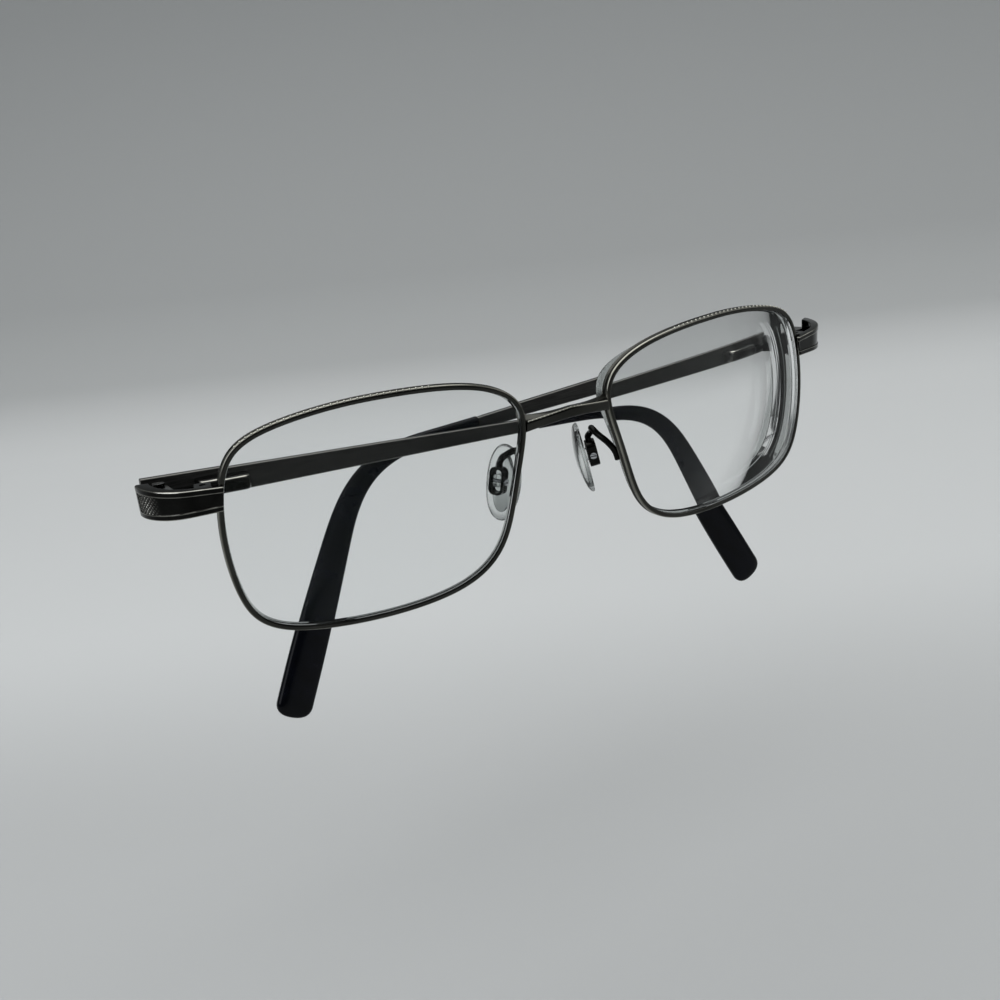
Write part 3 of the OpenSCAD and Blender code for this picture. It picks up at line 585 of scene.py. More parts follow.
endForm = {
    "height": 5.2, "rimHeight": 4.0, "lift": 0.15, "lap": 0.6, "lapMid": 0.5, "lapLean": 0.35,
    "run": 4.4, "radius": 8.6, "lip": 0.6, "wall": 1.4, "thick": 2.1,
    "edge": 0.22, "band": 0.95, "field": 0.13, "step": 0.12, "endBorder": 0.9, "endLip": 0.35,
    "lipDrop": 0.1, "leanRun": 0.6, "blend": 0.3, "squash": 0.04, "innerEdge": 0.12,
    "knurlLength": 5.4, "knurlFade": 2.6, "knurlPitch": 0.74, "knurlDepth": 0.2, "knurlFloor": 0.35,
    "rows": 66, "lapStep": 0.1, "faceStep": 0.25, "knurlStep": 0.078, "knurlLead": 0.2, "lastStep": 0.09,
}
# Pale share on the end pieces, painted highlight lines along the edges and at the step of the recess, and
# plating worn off the knurl peaks: how much, how far in from the edge, and how wide
endWearAndHighlight = {
    "edge": 0.5, "edgeIn": 0.1, "edgeWide": 0.12, "band": 0.3, "bandWide": 0.1,
    "valley": 0.04, "peak": 0.3, "peakWide": 0.4, "most": 0.6,
}
seatAngle = angleAt(endZ, False)
seatPoint = lensPoint(seatAngle)
seat = fromLens(seatPoint, faceBow(seatPoint))
seatTurn = wrapTurn + asin(seatPoint[0] / lensForm["faceRadius"])
endTurn = pi / 2 - seatTurn


def inSeat(q):
    # From the glasses to the seat of the end piece on the rim
    x, y = q[0] - seat[0], q[1] - seat[1]
    return x * cos(seatTurn) + y * sin(seatTurn), -x * sin(seatTurn) + y * cos(seatTurn)


def fromSeat(x, y, z):
    return (seat[0] + x * cos(seatTurn) - y * sin(seatTurn), seat[1] + x * sin(seatTurn) + y * cos(seatTurn),
            seat[2] + z)


endRows = [endZ + (endForm["height"] + endForm["rimHeight"]) / 4 * k / 4 for k in range(-4, 5)]
rimFront = min(inSeat(onRim(angleAt(z, False), rimForm["wall"], -rimHalf))[1] for z in endRows)
endFace = rimFront - wallSeam - endForm["lip"]
endStep = max(inSeat(onRim(angleAt(z, False), rimForm["wall"], rimHalf))[0] for z in endRows) + wallSeam
stepGap = 0.001  # the two stations of the step behind the rim
innerRadius = endForm["radius"] - (endForm["thick"] - endForm["wall"] * cos(endTurn)) / (1 - cos(endTurn))


def endStation(u):
    # Outer point, outward way and inner point of the end piece at a distance along its face
    arc = u - endForm["run"]
    if arc <= 0:
        deep = endForm["lip"] if u < endStep - stepGap else endForm["wall"]
        return (u, endFace), (0, -1), (u, endFace + deep)
    a = -pi / 2 + arc / endForm["radius"]
    way = (cos(a), sin(a))
    outer = (endForm["run"] + endForm["radius"] * way[0], endFace + endForm["radius"] * (1 + way[1]))
    inner = (endForm["run"] + innerRadius * way[0], endFace + endForm["wall"] + innerRadius * (1 + way[1]))
    return outer, way, inner


endLength = endForm["run"] + endForm["radius"] * endTurn
endTip = endStation(endLength)[0]
knurlFrom = endLength - endForm["endBorder"] - endForm["knurlLength"]


def endSize(x):
    # Middle and half height of the end piece at a distance from the rim
    q = (x + endForm["lap"]) / (endTip[0] + endForm["lap"])
    return endForm["lift"] * q, (endForm["rimHeight"] + (endForm["height"] - endForm["rimHeight"]) * q) / 2


def endRelief(u, z, half):
    # Height of the face over its outer form, and its pale share there: painted highlight lines along the
    # edges and plating worn off the knurl peaks
    inside = smoothStep((half - endForm["band"] - abs(z)) / endForm["step"])
    inside *= smoothStep((endLength - endForm["endBorder"] - u) / endForm["step"])
    rise = -endForm["field"] * inside
    rise -= endForm["lipDrop"] * smoothStep((u - endLength + endForm["endLip"]) / endForm["step"])
    fromSide = half - abs(z)
    # painted highlight lines along the top and bottom edges and at the step of the recess
    wearAndHighlight = endWearAndHighlight["edge"] * smoothStep(1 - abs(fromSide - endWearAndHighlight["edgeIn"]) / endWearAndHighlight["edgeWide"])
    fromBand = fromSide - endForm["band"] + endForm["step"] / 2
    wearAndHighlight += endWearAndHighlight["band"] * smoothStep(1 - abs(fromBand) / endWearAndHighlight["bandWide"])
    fade = inside * smoothStep((u - knurlFrom) / endForm["knurlFade"])
    if fade > 0:
        p, q = (u + z) / endForm["knurlPitch"], (u - z) / endForm["knurlPitch"]
        peak = min(1 - abs(2 * (p - floor(p)) - 1), 1 - abs(2 * (q - floor(q)) - 1)) - endForm["knurlFloor"]
        rise += fade * endForm["knurlDepth"] * peak
        wearAndHighlight += fade * (endWearAndHighlight["valley"] + endWearAndHighlight["peak"] * smoothStep(peak / endWearAndHighlight["peakWide"]))
    return rise, min(wearAndHighlight, endWearAndHighlight["most"])


def endStations():
    # Distances along the face: fine over the lap and the knurl, with a sharp step behind the rim
    fine, wide, knurl = endForm["lapStep"], endForm["faceStep"], endForm["knurlStep"]
    marks = [-endForm["lap"] + k * fine for k in range(int((endStep + endForm["lap"]) / fine))]
    marks += [endStep - stepGap, endStep]
    while marks[-1] < endLength - endForm["lastStep"]:
        marks.append(marks[-1] + (wide if marks[-1] < knurlFrom - endForm["knurlLead"] else knurl))
    marks[-1] = endLength
    return marks


for side in sides:
    rings = []
    wearAndHighlight = []
    for u in endStations():
        outer, way, inner = endStation(u)
        fromEnd = min(u + endForm["lap"], endLength - u)
        pull = endForm["edge"] * (1 - sqrt(max(0, 1 - max(0, 1 - fromEnd / endForm["edge"]) ** 2)))
        middle, half = endSize(outer[0])
        # The lap edge leans as the rim does
        leanBy = max(0, 1 - (u + endForm["lap"]) / (endForm["lap"] + endForm["leanRun"]))
        ring = []
        for k in range(endForm["rows"] + 1):
            z = half * (1 - 2 * k / endForm["rows"])
            corner = max(0, abs(z) - half + endForm["edge"]) / endForm["edge"]
            drop = endForm["edge"] * (1 - sqrt(max(0, 1 - corner * corner)))
            rise, rubAndHighlight = endRelief(u, z, half)
            lift = rise * min(1, fromEnd / endForm["blend"]) - drop - pull
            shift = leanBy * (endForm["lap"] - endForm["lapMid"] - endForm["lapLean"] * z / half)
            ring.append(fromSeat(outer[0] + way[0] * lift + shift, outer[1] + way[1] * lift,
                                 middle + z * (1 - endForm["squash"] * pull)))
            wearAndHighlight.append(rubAndHighlight)
        cut = endForm["innerEdge"]
        for z, d in ((-half, cut), (-half + cut, 0), (half - cut, 0), (half, cut)):
            shift = leanBy * (endForm["lap"] - endForm["lapMid"] - endForm["lapLean"] * z / half)
            ring.append(fromSeat(inner[0] + way[0] * d + shift, inner[1] + way[1] * d, middle + z))
            wearAndHighlight.append(0.0)
        rings.append(mirrored(ring, side))
    makePiece(f"endPieceShell_{side}", *skinRings(rings), darkMetal, "front", "gunmetal",
              [f"end_piece_{side}"], wearAndHighlight=wearAndHighlight)
print("end pieces made")


templeForm = {
    "hingeInset": 0.3, "plate": 1.2, "plateOff": 3.2, "butt": 2.25, "buttGap": 0.3, "droop": 5,
    "slope": {"right": 4, "left": 2}, "fold": {"right": -0.3, "left": 1.5},
    "drop": 0.85, "length": 145.5, "buttHeight": 4.8, "lift": 0.3, "neckHeight": 2.4, "tipStart": 74,
    "bendStart": 80, "bendLength": 36, "bend": 60.5, "bow": 4.5, "bowStart": 60, "sleeveHeight": 2.8,
    "tipHeight": 6.9, "sleeveThick": 1.75, "tipThick": 2.3, "fullBefore": 8, "tipPower": 2.9,
    "endRound": 2.6, "endPower": 2.6, "endLeast": 0.0004, "endFlat": 0.25, "chamfer": 0.2, "endBevel": 0.12,
    "endShrink": (0.12, 0.048),
    "edgeWearAndHighlight": 0.8, "barStations": 60, "tipStations": 70, "tipSides": 36,
}
endCorner = fromSeat(endTip[0], endTip[1], 0)
hinge = Vector((
    endCorner[0] - templeForm["hingeInset"] - templeForm["plate"] / 2 - templeForm["plateOff"],
    endCorner[1] + templeForm["buttGap"] + templeForm["butt"], endZ - templeForm["drop"]))


def templePlace(side):
    turn = Matrix.Rotation(radians(templeForm["slope"][side]), 3, "Y")
    turn = turn @ Matrix.Rotation(radians(-templeForm["droop"]), 3, "X")
    turn = turn @ Matrix.Rotation(radians(templeForm["fold"][side]), 3, "Z")

    def place(p):
        q = turn @ Vector(p)
        x = q.x - hinge.x
        return (x if side == "right" else -x, q.y + hinge.y, q.z + hinge.z)
    return place


def lean(s):
    # Downward turn of the temple at a distance from the hinge
    part = min(max((s - templeForm["bendStart"]) / templeForm["bendLength"], 0), 1)
    return radians(templeForm["bend"]) * (part - sin(2 * pi * part) / (2 * pi))


lineStep = 0.5
templeLine = [(0.0, 0.0)]
for i in range(ceil(templeForm["length"] / lineStep) + 2):
    x, z = templeLine[-1]
    templeLine.append((x + cos(lean(i * lineStep)) * lineStep, z - sin(lean(i * lineStep)) * lineStep))


def templePoint(s):
    i = min(int(s / lineStep), len(templeLine) - 2)
    f = s / lineStep - i
    x = templeLine[i][0] + f * (templeLine[i + 1][0] - templeLine[i][0])
    z = templeLine[i][1] + f * (templeLine[i + 1][1] - templeLine[i][1])
    bowPart = (s - templeForm["bowStart"]) / (templeForm["length"] - templeForm["bowStart"])
    return x, templeForm["plateOff"] - templeForm["bow"] * min(max(bowPart, 0), 1) ** 2, z


def tipRing(s, halfHeight, halfThick):
    x, y, z = templePoint(s)
    a = lean(s)
    ring = []
    for k in range(templeForm["tipSides"]):
        out, up = roundedForm(2 * pi * (k + 0.5) / templeForm["tipSides"], templeForm["tipPower"])
        ring.append((x + up * halfHeight * sin(a), y + out * halfThick, z + up * halfHeight * cos(a)))
    return ring


def tipSize(s):
    tf = templeForm
    grown = smoothStep((s - tf["bendStart"]) / (tf["length"] - tf["fullBefore"] - tf["bendStart"]))
    near = min(max((s - tf["length"] + tf["endRound"]) / tf["endRound"], 0), 1)
    close = max(1 - near ** tf["endPower"], tf["endLeast"]) ** (1 / tf["endPower"])
    height = (tf["sleeveHeight"] + (tf["tipHeight"] - tf["sleeveHeight"]) * grown) / 2
    thick = (tf["sleeveThick"] + (tf["tipThick"] - tf["sleeveThick"]) * grown) / 2
    return height * close, thick * (tf["endFlat"] + (1 - tf["endFlat"]) * close)


def barCorners(halfHeight, halfThick, cut):
    # Section of the bar, with each long edge broken in two small faces
    right = [(halfThick - cut, halfHeight), (halfThick - cut * 0.3, halfHeight - cut * 0.3),
             (halfThick, halfHeight - cut)]
    left = [(-halfThick, halfHeight - cut), (-halfThick + cut * 0.5, halfHeight - cut * 0.3),
            (-halfThick + cut, halfHeight)]
    return (left + right + [(across, -up) for across, up in reversed(right)]
            + [(across, -up) for across, up in reversed(left)])


tf = templeForm
for side in sides:
    place = templePlace(side)
    rings = []
    for i in range(tf["barStations"] + 1):
        part = i / tf["barStations"]
        s = -tf["butt"] + (tf["tipStart"] + tf["butt"]) * part
        half = (tf["buttHeight"] + (tf["neckHeight"] - tf["buttHeight"]) * part) / 2
        rise = tf["lift"] * (1 - part)
        corners = barCorners(half, tf["plate"] / 2, tf["chamfer"])
        thin, low = tf["endShrink"] if part in (0, 1) else (0, 0)
        rings.append([place((s, tf["plateOff"] + across * (1 - thin), rise + up * (1 - low)))
                      for across, up in corners])
        if part == 0:
            rings.append([place((s + tf["endBevel"], tf["plateOff"] + across, rise + up))
                          for across, up in corners])
    wearAndHighlight = [tf["edgeWearAndHighlight"] if k % 3 == 1 else 0.0 for _ in rings for k in range(len(corners))]
    makePiece(f"templeBar_{side}", *skinRings(rings), barMetal, f"temple_{side}", "dark_metal",
              [f"temple_arm_{side}"], sharp=20, wearAndHighlight=wearAndHighlight)
    first, count = tf["tipStart"], tf["tipStations"]
    last = tf["length"] - tf["endRound"]
    marks = [first + wallSeam + (last - first) * i / count for i in range(count + 1)]
    marks += [last + tf["endRound"] * q for q in (0.2, 0.4, 0.58, 0.72, 0.83, 0.91, 0.96, 0.99, 1)]
    rings = []
    for i, s in enumerate(marks):
        halfHeight, halfThick = tipSize(s)
        if i == 0:
            cut = tf["endBevel"]
            rings.append([place(p) for p in tipRing(s, halfHeight - cut, halfThick - cut)])
            s += cut
        rings.append([place(p) for p in tipRing(s, halfHeight, halfThick)])
    makePiece(f"tipSleeve_{side}", *skinRings(rings), tipPlastic, f"temple_{side}", "black_acetate",
              [f"temple_tip_{side}"])
print("temples made")


boxForm = {
    "length": 8.5, "height": 2.6, "front": 1.3, "gap": 6.4, "edge": 1.0, "edgeSteps": 8,
    "dome": 1.1, "domeFlat": 0.62, "domeTaper": 0.2,
    # painted highlight: a pale line along the top rounded edge and paler domed ends, in the crown tone
    "edgeWearAndHighlight": 0.5, "edgeHighlightAt": 0.88, "edgeHighlightWide": 0.1, "endWearAndHighlight": 0.12,
}
plateFace = templeForm["plateOff"] - templeForm["plate"] / 2
for side in sides:
    place = templePlace(side)
    half = boxForm["height"] / 2
    section = [(plateFace, half)]
    for k in range(boxForm["edgeSteps"] + 1):
        a = pi / 2 * k / boxForm["edgeSteps"]
        section.append((boxForm["edge"] * (1 - sin(a)) - boxForm["front"],
                        half - boxForm["edge"] * (1 - cos(a))))
    section += [(y, -z) for y, z in reversed(section)]
    rings = []
    wearAndHighlight = []
    steps = [0, 0.1, 0.22, 0.38, 0.58, 0.8, 1.0]
    marks = [(boxForm["gap"] + boxForm["dome"] * q, q) for q in steps]
    marks += [(boxForm["gap"] + boxForm["length"] - boxForm["dome"] * q, q) for q in reversed(steps)]
    for x, q in marks:
        scale = boxForm["domeFlat"] + (1 - boxForm["domeFlat"]) * sqrt(max(0, 1 - (1 - q) ** 2))
        narrow = 1 - boxForm["domeTaper"] * (1 - scale)
        rings.append([place((x, plateFace + (y - plateFace) * scale, z * narrow)) for y, z in section])
        for y, z in section:
            # painted highlight on the top edge only, and on the domed ends
            near = 1 - abs(z / half - boxForm["edgeHighlightAt"]) / boxForm["edgeHighlightWide"]
            wearAndHighlight.append(boxForm["edgeWearAndHighlight"] * smoothStep(near) + boxForm["endWearAndHighlight"] * (1 - q) ** 2)
    makePiece(f"springBoxShell_{side}", *skinRings(rings), darkMetal, f"temple_{side}", "gunmetal",
              [f"spring_box_{side}"], sharp=40, wearAndHighlight=wearAndHighlight)
print("spring boxes made")


padForm = {
    "centre": (8.7, 7.6, -4.2), "length": 14.5, "width": 6.9, "thick": 2.0, "lean": 12, "splay": 26,
    "curve": 22, "edgeLeast": 0.25,
    "boxWidth": 3.0, "boxLength": 5.2, "boxDepth": 1.9, "boxWall": 0.45, "boxZ": 0.6, "boxCorner": 1.1,
    "boxBevel": 0.1, "rock": 0.4, "lugPlay": 0.5, "lugLength": 2.4, "lugSunk": 0.1, "lugShort": 0.5,
    "lugBevel": 0.15, "backShare": 0.4,
    "wire": 0.6, "insertWidth": 4.2, "insertLength": 11.2, "insertThick": 0.5, "insertDeep": 0.75,
    "insertBevel": 0.08,
}
padBack = padForm["thick"] * padForm["backShare"]
boxFrom = padBack + padForm["rock"]
boxTo = boxFrom + padForm["boxDepth"]
padAxisX = (boxFrom + boxTo) / 2


def padWay(p):
    splay, leanBy = radians(padForm["splay"]), radians(padForm["lean"])
    x, y, z = p[0] * cos(splay) + p[1] * sin(splay), -p[0] * sin(splay) + p[1] * cos(splay), p[2]
    return Vector((x * cos(leanBy) - z * sin(leanBy), y, x * sin(leanBy) + z * cos(leanBy)))


def fromPad(p):
    return tuple(Vector(padForm["centre"]) + padWay(p))


def ovalRing(x, halfWidth, halfLength, n=64, power=0.9):
    ring = []
    for i in range(n):
        c, s = cos(2 * pi * i / n), sin(2 * pi * i / n)
        ring.append((x, halfWidth * abs(c) ** power * (1 if c > 0 else -1),
                     halfLength * abs(s) ** power * (1 if s > 0 else -1)))
    return ring


def padFront(y, z):
    # The face of the pad is part of a ball
    return padBack - padForm["thick"] + padForm["curve"] - sqrt(padForm["curve"] ** 2 - y * y - z * z)


# Rings of the pad: share of its outline, and how far the face falls back or the back lies ahead there
frontRows = [(0.12, 0), (0.3, 0), (0.5, 0), (0.68, 0), (0.82, 0), (0.9, 0.02), (0.95, 0.1), (0.985, 0.24),
             (1.0, 0.45)]
backRows = [(1.0, 0.22), (0.985, 0.08), (0.95, 0), (0.5, 0), (0.1, 0)]
lugTo = boxTo - padForm["lugShort"]
lugRows = [(padBack - padForm["lugSunk"], 1), (lugTo, 1), (lugTo + padForm["lugBevel"], 0.85)]
lugHalf = (padForm["boxWidth"] - 2 * padForm["boxWall"] - padForm["lugPlay"]) / 2
lugOval = ovalRing(0, lugHalf, padForm["lugLength"] / 2, 24, 0.5)
for side in sides:
    rings = []
    for share, back in frontRows:
        flat = ovalRing(0, padForm["width"] / 2 * share, padForm["length"] / 2 * share)
        rings.append([(min(padFront(y, z) + back, padBack - padForm["edgeLeast"]), y, z) for _, y, z in flat])
    for share, ahead in backRows:
        rings.append(ovalRing(padBack - ahead, padForm["width"] / 2 * share, padForm["length"] / 2 * share))
    shell = skinRings([mirrored([fromPad(p) for p in r], side) for r in rings])
    rings = []
    for x, grow in lugRows:
        rings.append([fromPad((x, y * grow, padForm["boxZ"] + z * grow)) for _, y, z in lugOval])
    lug = skinRings([mirrored(r, side) for r in rings])
    makePiece(f"padShell_{side}", *joined([shell, lug]), padClear, f"pad_{side}", "clear_silicone",
              [f"nose_pad_{side}"])
    rings = []
    cut, thick = padForm["insertBevel"], padForm["insertThick"]
    for x, grow in ((0.0, 0.96), (cut, 1.0), (thick - cut, 1.0), (thick, 0.96)):
        flat = ovalRing(x + padBack - padForm["insertDeep"], padForm["insertWidth"] / 2 * grow,
                        padForm["insertLength"] / 2 * grow)
        rings.append(mirrored([fromPad(p) for p in flat], side))
    makePiece(f"padPlate_{side}", *skinRings(rings), insertClear, f"pad_{side}", "clear_silicone")


def roundedLoop(halfWidth, halfLength, corner, n=12):
    loop = []
    for k, (sy, sz) in enumerate(((1, 1), (-1, 1), (-1, -1), (1, -1))):
        for i in range(n + 1):
            a = pi / 2 * (k + i / n)
            loop.append((sy * (halfWidth - corner) + corner * cos(a),
                         sz * (halfLength - corner) + corner * sin(a)))
    return loop


def spline(p, i, f):
    # Smooth curve through the points, at a share f of the way from point i to the next
    a, b, c, d = (Vector(p[min(max(k, 0), len(p) - 1)]) for k in range(i - 1, i + 3))
    bend = (2 * a - 5 * b + 4 * c - d) * f * f + (3 * b - a - 3 * c + d) * f ** 3
    return 0.5 * (2 * b + (c - a) * f + bend)


# Pad arm along the rim: height above its foot, distance outside the lens, gap behind the rim
armRows = [(0, 0.3, 0), (1.4, 0.35, 0), (2.8, 0.7, 0.15), (4.2, 1.1, 0.9), (5.4, 1.4, 2.2), (6.2, 1.2, 3.6)]
armTurn = (-0.2, -1.4, 2.2)  # the bend over the box, from the arm's end
armDrop = 0.9
footZ = -3
armEnd = Vector(fromPad((padAxisX, 0, padForm["boxZ"] + padForm["boxLength"] / 2)))
armUp = padWay((0, 0, 1))
armStations = [onRim(angleAt(footZ + z, True), out, rimHalf + wallSeam + padForm["wire"] + gap)
               for z, out, gap in armRows]
armStations += [armEnd + Vector(armTurn), armEnd + armDrop * armUp, armEnd]
armRoute = [spline(armStations, i, k / 10) for i in range(len(armStations) - 1) for k in range(10)] + [armEnd]
wall, corner, cut = padForm["boxWall"], padForm["boxCorner"], padForm["boxBevel"]
boxOuter = roundedLoop(padForm["boxWidth"] / 2, padForm["boxLength"] / 2, corner)
boxInner = roundedLoop(padForm["boxWidth"] / 2 - wall, padForm["boxLength"] / 2 - wall, corner - wall)
# Section of the box wall: depth, and share of the way from its outer to its inner face
wallSection = [(boxFrom + cut, 0), (boxTo - cut, 0), (boxTo, 0.25), (boxTo, 0.75), (boxTo - cut, 1),
               (boxFrom + cut, 1), (boxFrom, 0.75), (boxFrom, 0.25)]
for side in sides:
    rings = []
    for (oy, oz), (iy, iz) in zip(boxOuter, boxInner):
        rings.append([fromPad((x, oy + (iy - oy) * q, padForm["boxZ"] + oz + (iz - oz) * q))
                      for x, q in wallSection])
    makePiece(f"padBoxRing_{side}", *skinRings([mirrored(r, side) for r in rings], closed=True), darkMetal,
              "front", "dark_metal", [f"pad_box_{side}"])
    wire = wireAlong([tuple(p) for p in armRoute], padForm["wire"], around=20)
    wire = (mirrored(wire[0], side), wire[1])
    makePiece(f"padArmWire_{side}", *wire, darkMetal, "front", "dark_metal", [f"pad_arm_{side}"])
print("nose pads made")


# Pieces that keep their CAD shape, with their edges just broken
brokenEdge = {"width": 0.08, "segments": 2, "angle": 40}
keptLooks = {
    "upper_block": darkMetal, "lower_block": darkMetal, "front_hinge": darkMetal, "rim_screw": steelMetal,
    "hinge_screw": darkMetal, "pad_screw": steelMetal, "slider": darkMetal, "coil_spring": steelMetal,
    "stop_bush": steelMetal,
}
for name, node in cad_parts.items():
    look = keptLooks.get(name.rsplit("_", 1)[0])
    if look is None:
        continue
    node.data.materials.clear()
    node.data.materials.append(look)
    if not name.startswith("coil_spring"):
        edge = node.modifiers.new("brokenEdge", "BEVEL")
        edge.width = brokenEdge["width"] * mm
        edge.segments = brokenEdge["segments"]
        edge.limit_method = "ANGLE"
        edge.angle_limit = radians(brokenEdge["angle"])
print("small parts dressed")


# Paper sweep: flat under the glasses, then curving up to a wall, along the camera's way over the floor
stageForm = {
    "way": (0.475, 0.88), "floorZ": -105, "front": 1600, "height": 1600, "width": 4500, "wallY": 620,
    "curve": 260, "steps": 16, "frontShadeFrom": 40, "frontShadeTo": 170, "frontShade": 0.76, "paleTo": 350,
    # Painted shade: the paper greys from the floor colour up the wall, and dims toward the front
    "floor": "#cccece", "foot": "#a7a9a9", "footAt": 0.045, "wallLow": "#9a9c9c", "wallLowAt": 0.13,
    "wallHigh": "#888a8a",
}
cameraWay = Vector((*stageForm["way"], 0)).normalized()
crossWay = Vector((cameraWay.y, -cameraWay.x, 0))
curveFrom = stageForm["wallY"] - stageForm["curve"]
floorRows = [(-stageForm["front"], 0), (curveFrom, 0)]
for k in range(1, stageForm["steps"] + 1):
    a = pi / 2 * k / stageForm["steps"]
    floorRows.append((curveFrom + stageForm["curve"] * sin(a), stageForm["curve"] * (1 - cos(a))))
floorRows.append((stageForm["wallY"], stageForm["height"]))
verts, faces = [], []
for along, up in floorRows:
    for across in (-stageForm["width"], stageForm["width"]):
        p = cameraWay * along + crossWay * across + Vector((0, 0, stageForm["floorZ"] + up))
        verts.append(tuple(p * mm))
for i in range(len(floorRows) - 1):
    faces.append((2 * i, 2 * i + 1, 2 * i + 3, 2 * i + 2))
sweepMesh = bpy.data.meshes.new("paperSweep")
sweepMesh.from_pydata(verts, [], faces)
sweepMesh.polygons.foreach_set("use_smooth", [True] * len(faces))
sweep = bpy.data.objects.new("paperSweep", sweepMesh)
bpy.context.scene.collection.objects.link(sweep)

# Matt seamless paper, pale and even on the floor under the glasses, with painted shade that greys it as it
# rises behind and toward the front
material, tree = newMaterial("seamlessPaper")
place = addNode(tree, "ShaderNodeTexCoord")
parts = addNode(tree, "ShaderNodeSeparateXYZ", {"Vector": place.outputs["Object"]})
height = addNode(tree, "ShaderNodeMapRange", {
    "Value": parts.outputs["Z"], "From Min": stageForm["floorZ"] * mm, "From Max": stageForm["paleTo"] * mm})
tone = addNode(tree, "ShaderNodeValToRGB", {"Fac": height.outputs["Result"]})
setRamp(tone, [(0.0, stageForm["floor"]), (1.0, stageForm["wallHigh"]),
               (stageForm["footAt"], stageForm["foot"]), (stageForm["wallLowAt"], stageForm["wallLow"])])
# Painted shade: dimmer toward the front, where the floor lies nearer the viewer
along = addNode(tree, "ShaderNodeVectorMath", {
    0: place.outputs["Object"], 1: tuple(cameraWay)}, operation="DOT_PRODUCT")
front = addNode(tree, "ShaderNodeMapRange", {
    "Value": along.outputs["Value"], "From Min": stageForm["frontShadeFrom"] * mm,
    "From Max": stageForm["frontShadeTo"] * mm, "To Min": stageForm["frontShade"], "To Max": 1.0},
    interpolation_type="SMOOTHSTEP")
tone = addNode(tree, "ShaderNodeVectorMath", {
    0: tone.outputs["Color"], "Scale": front.outputs["Result"]}, operation="SCALE")
paper = addNode(tree, "ShaderNodeBsdfPrincipled", {"Base Color": tone.outputs["Vector"], "Roughness": 0.9})
endMaterial(tree, paper.outputs["BSDF"])
sweepMesh.materials.append(material)


# Softboxes: place and target in mm, sides in mm, watts and colour
lampRows = {
    "ceilingPanel": ((0, 100, 900), (0, 20, 0), (1400, 1100), 9.0, "#ffffff"),
    "windowPanel": ((-750, -350, 450), (0, 0, 0), (700, 700), 3.0, "#f6f9ff"),
    "fillPanel": ((800, -500, 300), (0, 0, 0), (600, 600), 1.6, "#ffffff"),
}
for name, (place, target, size, power, colour) in lampRows.items():
    light = bpy.data.lights.new(name, "AREA")
    light.shape = "RECTANGLE"
    light.size, light.size_y = (side * mm for side in size)
    light.energy = power
    light.color = toLinear(colour)[:3]
    lamp = bpy.data.objects.new(name, light)
    lamp.location = Vector(place) * mm
    lamp.rotation_euler = (Vector(target) - Vector(place)).to_track_quat("-Z", "Y").to_euler()
    lamp.visible_transmission = False  # no white patch in the lens edges
    lamp.visible_camera = False
    bpy.context.scene.collection.objects.link(lamp)

# What each kind of ray sees of the room: lamp-like fill, the pale backdrop, and the dark side of the viewer
roomForm = {
    "fill": "#c4c8c8", "fillStrength": 0.45, "backdrop": "#b9bcbc", "dark": "#2e3032", "pale": "#c8cbcb",
    "upFrom": 0.15, "upTo": 0.8, "awayFrom": -0.2, "awayTo": 0.6,
}
world = bpy.data.worlds.new("paleRoom")
bpy.context.scene.world = world
world.use_nodes = True
tree = world.node_tree
tree.nodes.clear()
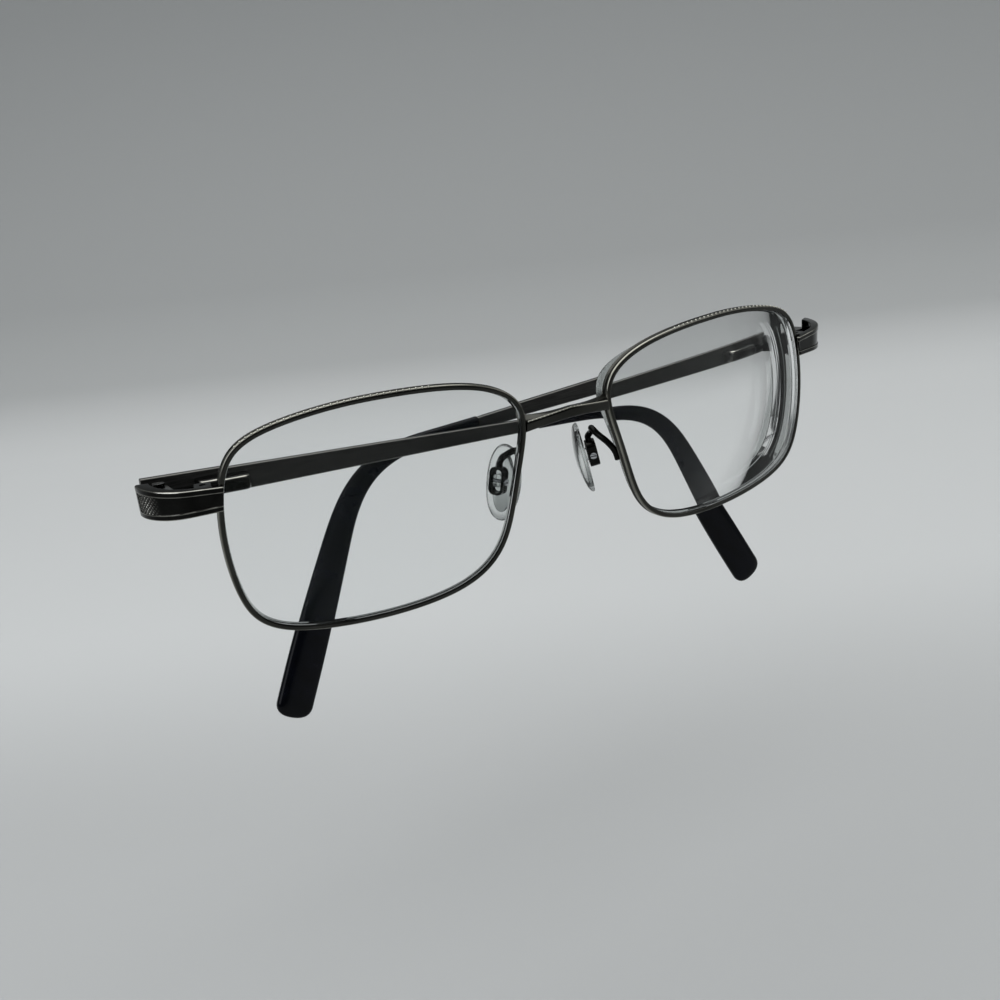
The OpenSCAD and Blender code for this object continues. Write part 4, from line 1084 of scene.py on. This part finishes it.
# Camera and transmission rays see the pale backdrop; metals mirror a room that is dark on the viewer's side
path = addNode(tree, "ShaderNodeLightPath")
seen = addNode(tree, "ShaderNodeMath", {
    0: path.outputs["Is Camera Ray"], 1: path.outputs["Is Transmission Ray"]}, operation="MAXIMUM")
room = addNode(tree, "ShaderNodeBackground", {
    "Color": toLinear(roomForm["fill"]), "Strength": roomForm["fillStrength"]})
backdrop = addNode(tree, "ShaderNodeBackground", {"Color": toLinear(roomForm["backdrop"]), "Strength": 1.0})
place = addNode(tree, "ShaderNodeTexCoord")
parts = addNode(tree, "ShaderNodeSeparateXYZ", {"Vector": place.outputs["Generated"]})
up = addNode(tree, "ShaderNodeMapRange", {
    "Value": parts.outputs["Z"], "From Min": roomForm["upFrom"], "From Max": roomForm["upTo"]})
away = addNode(tree, "ShaderNodeVectorMath", {
    0: place.outputs["Generated"], 1: tuple(cameraWay)}, operation="DOT_PRODUCT")
away = addNode(tree, "ShaderNodeMapRange", {
    "Value": away.outputs["Value"], "From Min": roomForm["awayFrom"], "From Max": roomForm["awayTo"]})
pale = addNode(tree, "ShaderNodeMath", {
    0: up.outputs["Result"], 1: away.outputs["Result"]}, operation="MAXIMUM")
tone = addNode(tree, "ShaderNodeValToRGB", {"Fac": pale.outputs["Value"]})
setRamp(tone, [(0.0, roomForm["dark"]), (1.0, roomForm["pale"])])
around = addNode(tree, "ShaderNodeBackground", {"Color": tone.outputs["Color"], "Strength": 1.0})
mirror = addNode(tree, "ShaderNodeMixShader", {
    0: path.outputs["Is Glossy Ray"], 1: room.outputs["Background"], 2: around.outputs["Background"]})
mixed = addNode(tree, "ShaderNodeMixShader", {
    0: seen.outputs["Value"], 1: mirror.outputs["Shader"], 2: backdrop.outputs["Background"]})
addNode(tree, "ShaderNodeOutputWorld", {"Surface": mixed.outputs["Shader"]})
bpy.context.scene.view_settings.view_transform = "Standard"

# Camera solved from the two rims: place in mm, and its right, down and forward ways
cameraForm = {
    "place": (-99.931, -159.144, 64.444), "right": (0.858141, -0.50451, -0.095206),
    "down": (-0.257629, -0.262743, -0.929835), "forward": (0.444097, 0.822457, -0.355447),
    "lens": 39.6, "sensor": 36, "clip": (0.005, 20),
}
cameraData = bpy.data.cameras.new("camera")
cameraData.lens = cameraForm["lens"]
cameraData.sensor_width = cameraForm["sensor"]
cameraData.clip_start, cameraData.clip_end = cameraForm["clip"]
camera = bpy.data.objects.new("camera", cameraData)
columns = [Vector(cameraForm["right"]), -Vector(cameraForm["down"]), -Vector(cameraForm["forward"])]
turn = Matrix([[columns[j][i] for j in range(3)] for i in range(3)]).to_4x4()
camera.matrix_world = Matrix.Translation(Vector(cameraForm["place"]) * mm) @ turn
bpy.context.scene.collection.objects.link(camera)
bpy.context.scene.camera = camera
print("stage ready")
